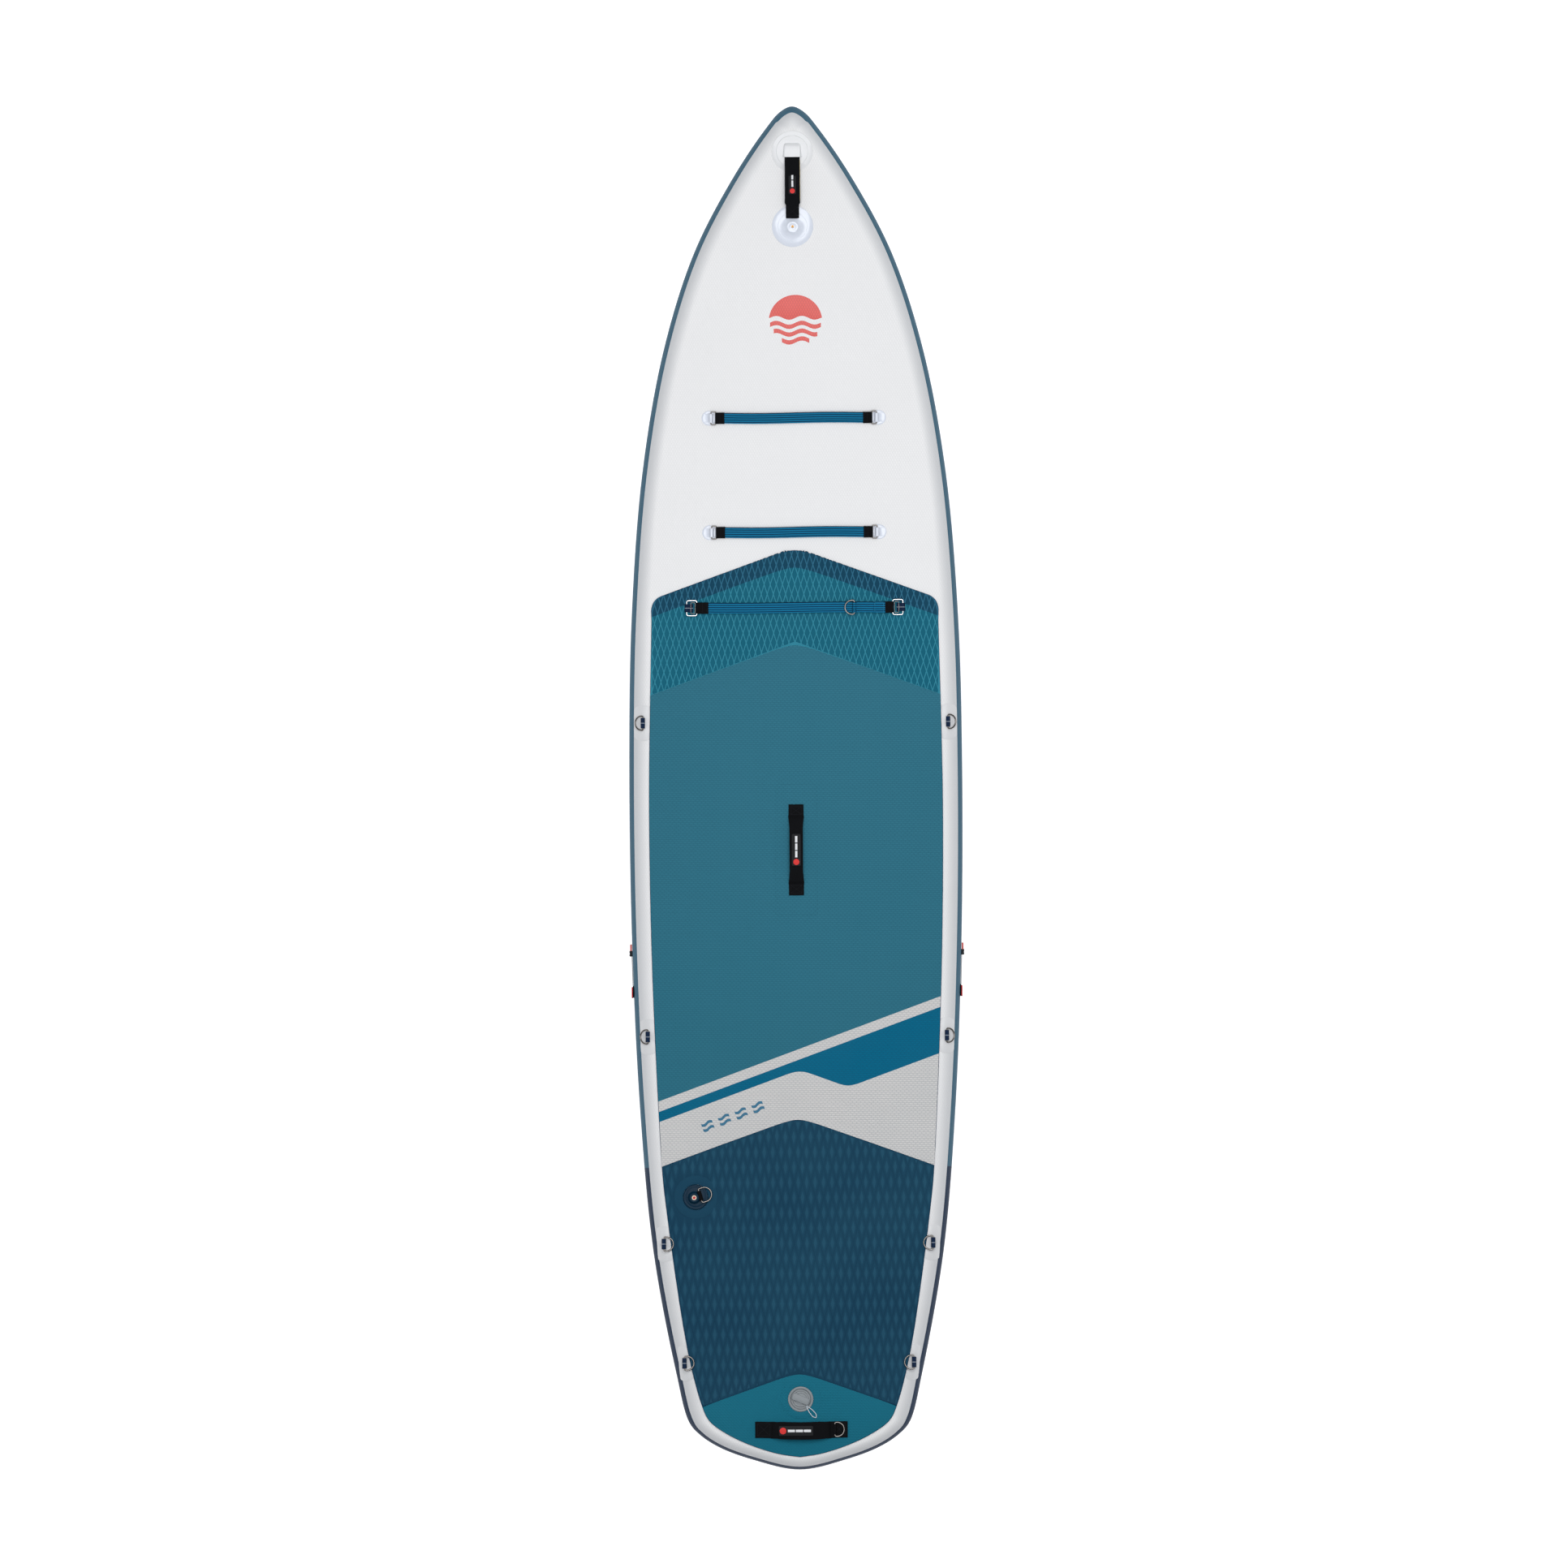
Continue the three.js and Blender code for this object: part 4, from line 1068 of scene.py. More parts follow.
class BoardSizes(bpy.types.PropertyGroup):
    """Sizes of the detail that stands on the CAD frame"""

    front_cell_width: FloatProperty(name="Front cell width", description="Across one diamond cell",
                                    default=0.0157, unit="LENGTH")
    front_cell_length: FloatProperty(name="Front cell length", description="Along one diamond cell",
                                     default=0.050, unit="LENGTH")
    rear_cell_width: FloatProperty(name="Rear cell width", description="Across one rear facet",
                                   default=0.0217, unit="LENGTH")
    rear_cell_length: FloatProperty(name="Rear cell length", description="Along one rear facet",
                                    default=0.078, unit="LENGTH")
    emblem_radius: FloatProperty(name="Emblem radius", description="Printed roundel on the bow",
                                 default=0.069, unit="LENGTH")
    seen_width: FloatProperty(name="Seen width", description="Width of the deck plane in view",
                              default=4.033, unit="LENGTH")
    lens: FloatProperty(name="Lens", description="Focal length", default=1200.0, unit="CAMERA")


def settings(context):
    """The scene's colours and sizes."""
    return context.scene.board_colours, context.scene.board_sizes


# ---------- hull ----------
def skin_part(angles):
    """A skin over the deck or the bottom, its edges turned round the sides."""
    back = angles[::-1]
    outside = [hull_rows(back, 0, 1), hull_rows(angles, 0, -1)]
    inside = [hull_rows(back, -SKIN, -1), hull_rows(angles, -SKIN, 1)]
    rows = np.concatenate([*outside, *inside], 1)
    # drop is how far the skin has turned down from the flat; the finish uses it for painted shade on the
    # shoulder.
    drop = HALF * (1 - np.abs(np.sin(np.radians([*back, *angles, *back, *angles]))))
    return loft(rows, flow=np.dstack([rows[..., :2], np.broadcast_to(drop, rows.shape[:2])]))


def tape_part(angles):
    """The band round the side, one closed hoop, standing a little proud of the skin."""
    back = angles[::-1]
    edge_run = np.concatenate([[0], np.cumsum(np.linalg.norm(np.diff(EDGE, axis=0), axis=1))])
    lift = np.array([0.02, TAPE_PROUD, *[TAPE_PROUD] * (len(angles) - 4), TAPE_PROUD, 0.02])
    halves = []
    for side in (1, -1):
        outer = np.stack([hull_rows([a], o, side)[:, 0] for a, o in zip(angles, lift)], 1)
        inner = hull_rows(back, -SKIN, side)
        halves.append(np.concatenate([outer, inner], 1))
    rows = np.concatenate([halves[0], halves[1][::-1][1:-1]])
    run = np.concatenate([edge_run, edge_run[::-1][1:-1]])
    girth = np.radians([*angles, *back]) * HALF
    flow = np.stack(np.broadcast_arrays(run[:, None], girth[None], 0.0), -1)
    return loft(rows, True, flow)


def build_hull(context):
    """Deck, bottom and side tape."""
    colours, _ = settings(context)
    deck_angles = [90, 86, 81, 76, 70, 64, 58, 52, 46, 40.4]
    bottom_angles = [-90, -84, -78, -72, -66, -60, -54, -48, -42, -36.4]
    # Both coatings darken over the shoulders as painted shade.
    over = coated_fabric_finish("deck_coating", colours.white, colours.white_side_shade)
    # The bottom's darker white is painted shade.
    under = coated_fabric_finish("bottom_coating", colours.white_under_shade, colours.white_side_shade)
    piece("deck_sheet", skin_part(deck_angles), over, stands_for=["deck_skin"], slot="white_skin")
    piece("bottom_sheet", skin_part(bottom_angles), under, stands_for=["hull_skin"], slot="white_skin")
    band_angles = [41.5, 41, 33, 24, 16, 8, 0, -8, -16, -24, -31, -37, -37.5]
    piece("side_tape", tape_part(band_angles), rail_tape_finish(colours), stands_for=["rail_band"],
          slot="rail_tape")
    core = bpy.data.objects["drop_stitch_core"]
    paint(core, core_fabric_finish())


def paint(obj, finish):
    """Gives a CAD node's object a finish."""
    obj.data.materials.clear()
    obj.data.materials.append(finish)


# ---------- emblem ----------
def wave_band(x0, x1, centre, half, swell, length, phase=0.0):
    """An outline of a wavy stripe."""
    xs = np.linspace(x0, x1, 40)
    mid = centre + swell * np.sin(2 * math.pi * xs / length + phase)
    return [*zip(xs, mid - half), *zip(xs[::-1], mid[::-1] + half)]


def on_deck(part, lift):
    """A flat part laid on the deck: its heights become heights over the deck."""
    points, faces, flow = part
    laid = points.copy()
    laid[:, 2] = points[:, 2] + deck_height(points[:, 0], points[:, 1]) + lift
    return laid, faces, flow


def build_emblem(context):
    """A roundel printed on the bow: a rising disc over three waves."""
    colours, sizes = settings(context)
    radius = sizes.emblem_radius / MM
    centre = (6, 1200)
    parts = []
    top = arc(radius, 8, 172, 48)
    xs = np.linspace(top[-1][0], top[0][0], 40)[1:-1]
    wavy = [(x, 10 + 5 * math.sin(2 * math.pi * x / 66)) for x in xs]
    parts.append(plate([*top, *wavy], 0, 0.12, 0.05))
    for level in (-12, -32, -52):
        reach = math.sqrt(max(0, radius**2 - (abs(level) + 7) ** 2)) * 0.985
        parts.append(plate(wave_band(-reach, reach, level + 4, 5.6, 5, 66), 0, 0.12, 0.05))
    emblem = moved(joined(*parts), (*centre, 0))
    piece("bow_emblem", on_deck(emblem, 0.05), print_finish("coral_print", colours.coral))


# ---------- pads ----------
def pad_side(shrink=0.0):
    """The pad's right edge."""
    points = [(x - shrink if x else 0, y + (0 if x else shrink)) for x, y in PAD_SIDE]
    return spline(points, 6)


def front_corner():
    """The rounded shoulder at the pad's front right."""
    line = seam(SEAMS["front"], -SEAM_GAP)
    a, b, c = np.array((343, line(343))), np.array((370.5, line(371))), np.array((370, 452))
    return [a * (1 - t) ** 2 + 2 * b * t * (1 - t) + c * t * t for t in np.linspace(0, 1, 12)[:-1]]


def seam_points(line, reach):
    """Points of a chevron from the middle outwards, closest where it bends."""
    return [(x, float(line(x))) for x in (0, 5, 10, 16, 24, 36, 55, reach)]


def cut_at(side, line):
    """Where the pad's edge crosses a chevron."""
    over = side[:, 1] - line(side[:, 0])
    i = int(np.argmax(over < 0))
    t = over[i - 1] / (over[i - 1] - over[i])
    return tuple(side[i - 1] + (side[i] - side[i - 1]) * t)


SEAM_GAP = 0.03


def sheet_outline(start, end):
    """The outline of one foam sheet between two chevrons."""
    top = seam(SEAMS[start], -SEAM_GAP)
    bottom = seam(SEAMS[end], SEAM_GAP) if end else (lambda x: np.full(np.shape(x), -TIP_Y))
    whole = pad_side()
    side = [tuple(p) for p in whole if bottom(p[0]) < p[1] < top(p[0]) - 0.5 and p[0] > 0.01]
    first = front_corner() if start == "front" else [cut_at(whole, top)]
    last = [cut_at(whole, bottom), *seam_points(bottom, 200)[::-1]] if end else [(0, whole[-1][1])]
    right = [*seam_points(top, 200), *first, *side, *last]
    left = [(-x, y) for x, y in right[::-1] if x > 0.01]
    return [(float(x), float(y)) for x, y in [*right, *left]]


PRINT_CENTRE, PRINT_STEP, PRINT_SLOPE = (-167, -843), 46, 0.367
RIM, SEAM_SOFT = 2.2, 0.22


def rim_chamfer(loop):
    """A wide bevel along the pad's outer edge and a slight one at seams and holes."""
    whole = np.array([*front_corner(), *pad_side()])
    near = np.array([np.linalg.norm(whole - (abs(x), y), axis=1).min() for x, y in loop])
    front = loop[:, 1] > seam(SEAMS["front"], -30)(loop[:, 0])
    return np.where((near < 0.8) | front, RIM, SEAM_SOFT)


def clipped(cell, planes):
    """A convex cell cut back to the inside of half-planes (normal, limit)."""
    for normal, limit in planes:
        kept = []
        for p, q in zip(cell, [*cell[1:], cell[0]]):
            dp, dq = normal @ p - limit, normal @ q - limit
            if dp <= 0:
                kept.append(p)
            if dp * dq < 0:
                kept.append(p + (q - p) * (dp / (dp - dq)))
        cell = kept
        if len(cell) < 3:
            return []
    return cell


def half_planes(points, margin):
    """The half-planes inside a chain of points that has the material on its right."""
    points = np.asarray(points, float)
    along = unit(np.diff(points, axis=0))
    out = np.stack([-along[:, 1], along[:, 0]], 1)
    return [(n, float(n @ p) - margin) for n, p in zip(out, points[:-1])]


def chevron_plane(apex, side, above, margin):
    """The half-plane above or below one arm of a chevron."""
    normal = unit(np.array((side * CHEVRON_SLOPE, 1.0)))
    limit = float(normal @ np.array((0.0, apex)))
    return (-normal, -limit - margin) if above else (normal, limit - margin)


SEAM_MARGIN = 0.8
LEASH_HOLE, LEASH_COLLAR = 32.7, 56
VALVE_HOLE, VALVE_COLLAR = 32.8, 52
# Start, end and steps of a full circle, whose last point isn't its first.
ROUND_HOLE, ROUND_RIM = (0, 352.5, 47), (0, 355, 71)


def pad_cells(start, end, width, length, shrink, share, margin, keep_off=None):
    """Raised diamond cells over a foam sheet, cut back at its edges."""
    right = [*front_corner(), *pad_side()] if start == "front" else list(pad_side())
    right = np.array([p for p in right if p[0] > 1])
    left = right[::-1] * np.array((-1, 1))
    planes = [*half_planes(right[::2], margin), *half_planes(left[::2], margin)]
    # A half plane that would leave out the pad's middle is turned round.
    planes = [(-n, -l - 2 * margin) if float(n @ np.array((0, -600))) > l else (n, l) for n, l in planes]
    tops = [chevron_plane(SEAMS[start], s, False, SEAM_MARGIN) for s in (-1, 1)]
    tops.append((np.array((0.0, 1.0)), SEAMS[start] - CHEVRON_SLOPE * CHEVRON_ROUND - SEAM_MARGIN))
    diamond = np.array([(width / 2, 0), (0, length / 2), (-width / 2, 0), (0, -length / 2)]) * shrink
    spans_y = (SEAMS[end] - 200, SEAMS[start] + 40)
    parts = []
    rows = range(int(spans_y[0] // (length / 2)), int(spans_y[1] // (length / 2)) + 1)
    for row in rows:
        for column in range(-26, 27):
            centre = np.array(((column + (row % 2) / 2) * width, row * length / 2))
            side = 1 if centre[0] >= 0 else -1
            arms = [chevron_plane(SEAMS[end], side, True, SEAM_MARGIN)]
            cell = clipped([p for p in diamond + centre], [*tops, *arms, *planes])
            if len(cell) < 3:
                continue
            if keep_off and np.linalg.norm(np.mean(cell, 0) - keep_off[0]) < keep_off[1]:
                continue
            area = np.array(cell)
            spread = area.max(0) - area.min(0)
            if spread.min() < 2.5:
                continue
            parts.append(stud(cell, PAD_TOP - RELIEF - 0.2, PAD_TOP, share))
    return joined(*parts)


def build_front_pad(context):
    """The front foam sheet, cut into diamonds."""
    colours, sizes = settings(context)
    sheet = plate(sheet_outline("front", "middle"), DECK_Z + GAP, PAD_TOP - RELIEF, rim_chamfer)
    piece("front_sheet", sheet, foam_front(colours, False), stands_for=["pad_front"], slot="teal_foam")
    wide, long = sizes.front_cell_width / MM, sizes.front_cell_length / MM
    cells = pad_cells("front", "middle", wide, long, shrink=0.82, share=0.9, margin=2.5)
    piece("front_diamonds", cells, foam_front(colours, True), slot="teal_foam")


def build_middle_pad(context):
    """The long middle sheet with the raised outline of the handle's patch under it."""
    colours, _ = settings(context)
    print_foam = foam_middle(colours)
    sheet = plate(sheet_outline("middle", "rear"), DECK_Z + GAP, PAD_TOP, rim_chamfer)
    piece("middle_sheet", sheet, print_foam, stands_for=["pad_middle"], slot="steel_foam")
    x, y = middle("centre_handle")[:2]
    outline = rounded_box(54, 169, 8, (x, y))
    piece("handle_patch_rise", plate(outline, PAD_TOP - 0.1, PAD_TOP + 0.35, 0.35), print_foam,
          slot="steel_foam")


def build_small_print(context):
    """Four small double waves printed on the pale field, in step with its slope."""
    colours, _ = settings(context)
    waves = []
    for i in range(4):
        for level in (-7, 7):
            band_line = wave_band(-15, 15, level, 3.6, 2.6, 30)
            waves.append(moved(plate(band_line, 0, 0.12, 0.04), (PRINT_STEP * (i - 1.5), 0, 0)))
    laid = moved(joined(*waves), (*PRINT_CENTRE, PAD_TOP + 0.02), math.atan(PRINT_SLOPE))
    piece("pale_field_waves", laid, print_finish("teal_print", colours.wedge))


def build_rear_pad(context):
    """The rear sheet with deep faceted diamonds and a hole for the leash plate."""
    colours, sizes = settings(context)
    leash = middle("leash_anchor")[:2]
    grooves, facets = foam_rear(colours, False), foam_rear(colours, True)
    hole = arc(LEASH_HOLE, *ROUND_HOLE, leash)
    sheet = plate(sheet_outline("rear", "tail"), DECK_Z + GAP, PAD_TOP - RELIEF, rim_chamfer, holes=[hole])
    piece("rear_sheet", sheet, grooves, stands_for=["pad_rear"], slot="navy_foam")
    wide, long = sizes.rear_cell_width / MM, sizes.rear_cell_length / MM
    cells = pad_cells("rear", "tail", wide, long, shrink=0.93, share=0.42, margin=2.0,
                      keep_off=(leash, LEASH_COLLAR + 2))
    piece("rear_facets", cells, facets, slot="navy_foam")
    collar = plate(arc(LEASH_COLLAR, *ROUND_RIM, leash), PAD_TOP - RELIEF - 0.1, PAD_TOP - 0.2, 0.9,
                   holes=[arc(LEASH_HOLE + 0.9, *ROUND_HOLE, leash)])
    piece("leash_collar_rise", collar, facets, slot="navy_foam")


def build_tail_pad(context):
    """The kick pad with a hole for the valve and a faint ring round it."""
    colours, _ = settings(context)
    rows = foam_tail(colours)
    valve = middle("valve_body")[:2]
    hole = arc(VALVE_HOLE, *ROUND_HOLE, valve)
    sheet = plate(sheet_outline("tail", None), DECK_Z + GAP, PAD_TOP, rim_chamfer, holes=[hole])
    piece("tail_sheet", sheet, rows, stands_for=["pad_tail"], slot="teal_foam")
    collar = plate(arc(VALVE_COLLAR, *ROUND_RIM, valve), PAD_TOP - 0.1, PAD_TOP + 0.3, 0.3,
                   holes=[arc(VALVE_HOLE + 1.2, *ROUND_HOLE, valve)])
    piece("valve_collar_rise", collar, rows, slot="teal_foam")


# ---------- side rings ----------
PATCH_STEPS = [(0.0, 1.5), (0.5, 1.5), (0.8, 1.45), (0.83, 1.0), (0.97, 0.9), (1.0, 0.3)]


def pad_limit(x, y):
    """How far a patch reaches each way before it meets the pad."""
    edge = pad_side()
    edge = np.concatenate([np.array(front_corner()), edge])

    def limit(turn):
        direction = np.array((math.cos(turn) * (1 if x > 0 else -1), math.sin(turn)))
        start = np.array((abs(x), y))
        for a, b in zip(edge[:-1], edge[1:]):
            span = b - a
            det = direction[0] * -span[1] + direction[1] * span[0]
            if abs(det) < 1e-9:
                continue
            rel = a - start
            t = (rel[0] * -span[1] + rel[1] * span[0]) / det
            u = (direction[0] * rel[1] - direction[1] * rel[0]) / det
            if t > 0 and 0 <= u <= 1:
                return t - 0.8
        return 1e9

    return limit


KEEPER_THICK = 1.3


def keeper_part(width, long, depth):
    """A loop of tape over a ring's bar, its axis on the local Y axis, its legs down to depth."""
    r = width / 2 - KEEPER_THICK / 2
    path = [(-r - 1.5, -depth), (-r, -depth * 0.4), *arc(r, 180, 0, 12), (r, -depth * 0.4), (r + 1.5, -depth)]
    return sweep([(x, 0, z) for x, z in path], band(long, KEEPER_THICK), side=(0, 1, 0))


def build_side_rings(context):
    """Eight welded patches on the shoulders, each with a tape keeper and a D-ring."""
    colours, _ = settings(context)
    # The shoulder patches' darker white is painted shade.
    film = film_finish("shoulder_fabric", colours.side_patch_shade)
    tape = keeper_tape(colours)
    steel = steel_wire()
    for number, outwards in RAIL_RINGS:
        for name, side in SIDES.items():
            node = f"rail_ring_{number}_{name}"
            axis = ring_axis(node, side, outwards)
            patch = shoulder_patch(axis[0], axis[1], 46, PATCH_STEPS)
            piece(f"ring_patch_{number}_{name}", patch, film,
                  stands_for=[f"rail_anchor_{number}_{name}"], slot="white_patch")
            drop = axis[2] - float(deck_height(axis[0], axis[1])) + 2.5
            keeper = keeper_part(9.6, 27, drop)
            piece(f"ring_keeper_{number}_{name}", moved(keeper, axis), tape, slot="black_webbing")
            toward = side if outwards else -side
            droop = math.radians({1: 34, 2: 36}.get(number, 0))
            path = ring_path(*D_RING)
            c, s = math.cos(droop), math.sin(droop)
            turned = np.stack([toward * path[:, 0] * c, path[:, 1], -path[:, 0] * s], 1) + axis
            normal = (toward * s, 0, c)
            ring = sweep(turned, circle(WIRE, 14), normal, closed=True)
            piece(f"side_ring_{number}_{name}", ring, steel, body=node, stands_for=[node], slot="stainless")


def ring_axis(node, side, outwards):
    """The middle of a side ring's bar."""
    a, b = low(node), high(node)
    bar = a[0] if (side > 0) == outwards else b[0]
    inward = WIRE if (side > 0) == outwards else -WIRE
    return np.array((bar + inward, (a[1] + b[1]) / 2, b[2] - WIRE))


# ---------- nose handle and accessory mount ----------
NOSE_PATCH_R = 53


def dome_section(half, top, thick):
    """An arch seen end on: outer line one way, inner line back."""
    spread = [(1.12, 0.0), (1.02, 0.12), (1.0, 0.4), (0.97, 0.75), (0.86, 0.95), (0.6, 1.0), (0.2, 1.0)]
    outer = [(half * a, top * b) for a, b in spread]
    outer = [*outer, *((-a, b) for a, b in outer[::-1])]
    inner = [(a * (half - thick) / half, b * (top - thick) / top) for a, b in outer[::-1]]
    return [*outer, *inner]


def tape_run(path, widths, thicks, side, crown=0.0):
    """A tape whose width and thickness change along its path."""
    sections = [band(w, t, crown=crown) for w, t in zip(widths, thicks)]
    return sweep(path, np.array(sections), side)


def badge(length, wide):
    """A plain woven tag: a round spot, then bars."""
    tag = plate(rounded_box(length / 2, wide / 2, 3), 0, 0.7, 0.3)
    radius = wide * 0.34
    spot = plate(arc(radius, 0, 345, 23, (radius + 2 - length / 2, 0)), 0.7, 1.0, 0.12)
    bars = []
    start = 2 * radius + 6 - length / 2
    step = (length / 2 - 3 - start) / 3
    for i in range(3):
        x0, x1, half = start + i * step, start + (i + 1) * step - 2.5, wide * 0.13
        bars.append(plate([(x0, -half), (x1, -half), (x1, half), (x0, half)], 0.7, 1.0, 0.12))
    return tag, spot, joined(*bars)


def add_badge(name, length, wide, place, turn):
    """Fixes a plain tag on a handle."""
    tag, spot, bars = (moved(part, place, turn) for part in badge(length, wide))
    piece(f"{name}_tag", tag, plastic_finish("tag_rubber", srgb(24, 25, 28), 0.7))
    piece(f"{name}_tag_spot", spot, plastic_finish("tag_red", srgb(214, 52, 50), 0.6))
    piece(f"{name}_tag_bars", bars, plastic_finish("tag_bars", srgb(224, 226, 229), 0.6))


def nose_line():
    """Places along the nose handle and their heights over the deck."""
    given = [(1641, 7.5), (1627, 8.5), (1600, 14), (1545, 21), (1500, 19), (1479, 14), (1466, 11.5)]
    return spline([(0, y, DECK_Z + float(rocker(y)) + h) for y, h in given], 8)


def build_nose(context):
    """The grab handle at the nose, its two welded patches and the screw mount."""
    colours, _ = settings(context)
    film = film_finish("patch_fabric", colours.white_patch)
    y = middle("nose_handle_patch")[1]
    steps = [(0.0, 3.2), (0.6, 3.2), (0.755, 3.1), (0.785, 1.5), (0.975, 1.3), (1.0, 0.4)]
    patch = deck_patch(0, y, NOSE_PATCH_R, steps)
    path = [(0, py, DECK_Z + float(rocker(y))) for py in (1662, 1659, 1655, 1649, 1641, 1631, 1624, 1622.5)]
    rises = [2, 8, 13, 15, 15.4, 15.2, 15, 14.4]
    widths = [17, 19, 21, 22, 22.4, 22.6, 22.6, 22.2]
    arches = np.array([dome_section(w, r, min(2.0, r * 0.6)) for w, r in zip(widths, rises)])
    guide = sweep(path, arches, side=(1, 0, 0))
    piece("nose_patch", patch, film, stands_for=["nose_handle_patch"], slot="white_patch")
    piece("nose_tape_guide", guide, film, slot="white_patch")
    line = nose_line()
    along = line[:, 1]
    widths = np.where(along < 1503, 34.0, 38.6) + 1.6 * np.exp(-(((along - 1506) / 5) ** 2))
    thicks = np.where(along < 1503, 4.6, 3.0) + 1.2 * np.exp(-(((along - 1500) / 6) ** 2))
    black = black_tape(colours)
    piece("nose_grab_tape", tape_run(line, widths, thicks, (1, 0, 0), 0.6), black,
          stands_for=["nose_handle"], slot="black_webbing")
    thread = seam_thread()
    top = {y: float(np.interp(y, along[::-1], line[::-1, 2])) for y in (1495, 1472, 1566)}
    rows = [stitch_row((-14, y, top[y] + 2.7), (14, y, top[y] + 2.7)) for y in (1495, 1472)]
    rows += [stitch_row((x, 1495, top[1495] + 2.6), (-x, 1472, top[1472] + 2.6)) for x in (-14, 14)]
    piece("nose_grab_stitches", joined(*rows), thread)
    yellow = plastic_finish("tape_edging", srgb(196, 172, 98), 0.7)
    edging = [p + (19.4, 0, -0.6) for p in line if 1508 < p[1] < 1616]
    piece("nose_grab_edging", sweep(edging, circle(0.55, 8), (1, 0, 0)), yellow)
    add_badge("nose_grab", 78, 19, (0, 1566, top[1566] + 2.2), math.pi / 2)
    build_mount(colours)


def build_mount(colours):
    """The round screw mount behind the nose handle."""
    film = film_finish("clear_film", colours.film, clear=True)
    y = middle("nose_mount_insert")[1]
    y = round(float(y))
    base = (0, y, DECK_Z + float(rocker(y)))
    tilt = deck_tilt(y)
    steps = [(0.0, 1.9), (0.74, 1.9), (0.78, 1.5), (0.975, 1.3), (1.0, 0.4)]
    piece("mount_patch", deck_patch(0, y, NOSE_PATCH_R, steps), film, stands_for=["nose_mount_patch"],
          slot="white_patch")
    profile = [(0, 1), (37.5, 1), (37.8, 1.6), (37, 2.5), (30, 2.9), (24, 4.2), (19, 7.4), (16.4, 9.6),
               (15, 11),
               (14.2, 11.9), (13.2, 12.2), (9, 12.1), (7.4, 11.3), (6, 11.2), (3.3, 11.2), (3.3, 4), (0, 4)]
    piece("mount_cone", moved(lathe(profile), base, 0, tilt), film, slot="white_patch")
    paint(bpy.data.objects["nose_mount_insert"], metal_finish("turned_brass", srgb(176, 134, 74), 0.3))


# ---------- cargo straps ----------
STRAP_LIFT = 9


def strap_band(name, reach_left, reach_right, colours, place, tilt=0.0, bow=1.2):
    """The striped elastic between its wrapped ends."""
    xs = np.linspace(-reach_left, reach_right, 33)
    path = [(x, bow * math.sin(math.pi * x / reach_right), 0) for x in xs]
    part = moved(sweep(path, band(27.5, 2.8, crown=0.4), side=(0, 1, 0)), place, 0, tilt)
    return piece(name, part, elastic_finish(colours), slot="blue_elastic")


def strap_wrap(name, start, end, side, colours, place, tilt=0.0):
    """A sewn black sleeve that closes the strap's eye round its bar."""
    span = end - start
    shares = (0, 0.02, 0.06, 0.4, 0.62, 0.8, 0.93, 1.0, 1.06, 1.09)
    thicks = (3.2, 4.2, 4.8, 4.9, 5.4, 6.6, 7.0, 6.6, 4.8, 2.6)
    path = [(side * (start + span * t), 0, 0) for t in shares]
    part = moved(tape_run(path, [29.5] * len(shares), thicks, (0, 1, 0)), place, 0, tilt)
    black = black_tape(colours)
    piece(name, part, black, slot="black_webbing")
    seams = [side * (start + span * t) for t in (0.14, 0.52)]
    rows = [stitch_row((x, -12, 2.7), (x, 12, 2.7)) for x in seams]
    thread = seam_thread()
    piece(f"{name}_stitches", moved(joined(*rows), place, 0, tilt), thread)


def build_bow_straps(context):
    """Two elastic straps on the bow, each between two welded steel loops."""
    colours, _ = settings(context)
    film = film_finish("clear_film", colours.film, clear=True)
    steel = steel_wire()
    for n in (1, 2):
        y = round(float(middle(f"cargo_strap_{n}")[1]))
        place = (0, y, DECK_Z + float(rocker(y)) + STRAP_LIFT)
        tilt = deck_tilt(y)
        first = strap_band(f"bow_strap_{n}", 181, 181, colours, place, tilt)
        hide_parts(f"cargo_strap_{n}")
        for name, side in SIDES.items():
            strap_wrap(f"bow_strap_{n}_wrap_{name}", 178, 200, side, colours, place, tilt)
            path = box_ring_path(13, 36, 3.2, 1.5) * (side, side, 1) + (side * 200, 0, 0)
            ring = moved(wire_hoop(path, 1.5, 12), place, 0, tilt)
            piece(f"bow_loop_{n}_{name}", ring, steel, stands_for=[f"cargo_ring_{n}_{name}"],
                  slot="stainless")
            patch = deck_patch(side * 218, y, 19, [(0.0, 1.5), (0.7, 1.5), (0.92, 1.2), (1.0, 0.3)])
            piece(f"bow_patch_{n}_{name}", patch, film, stands_for=[f"cargo_anchor_{n}_{name}"],
                  slot="white_patch")
            legs = [(206.5, -STRAP_LIFT + 1), (208.6, -4), (209.4, 0), *arc(3.6, 165, 15, 9, (213, 0.2)),
                    (217, -2),
                    (219, -5), (223, -STRAP_LIFT + 2.2), (231, -STRAP_LIFT + 1.6)]
            loop = sweep([(side * x, 0, z) for x, z in legs], band(23, 1.2), side=(0, 1, 0))
            piece(f"bow_keeper_{n}_{name}", moved(loop, place, 0, tilt), film, slot="white_patch")


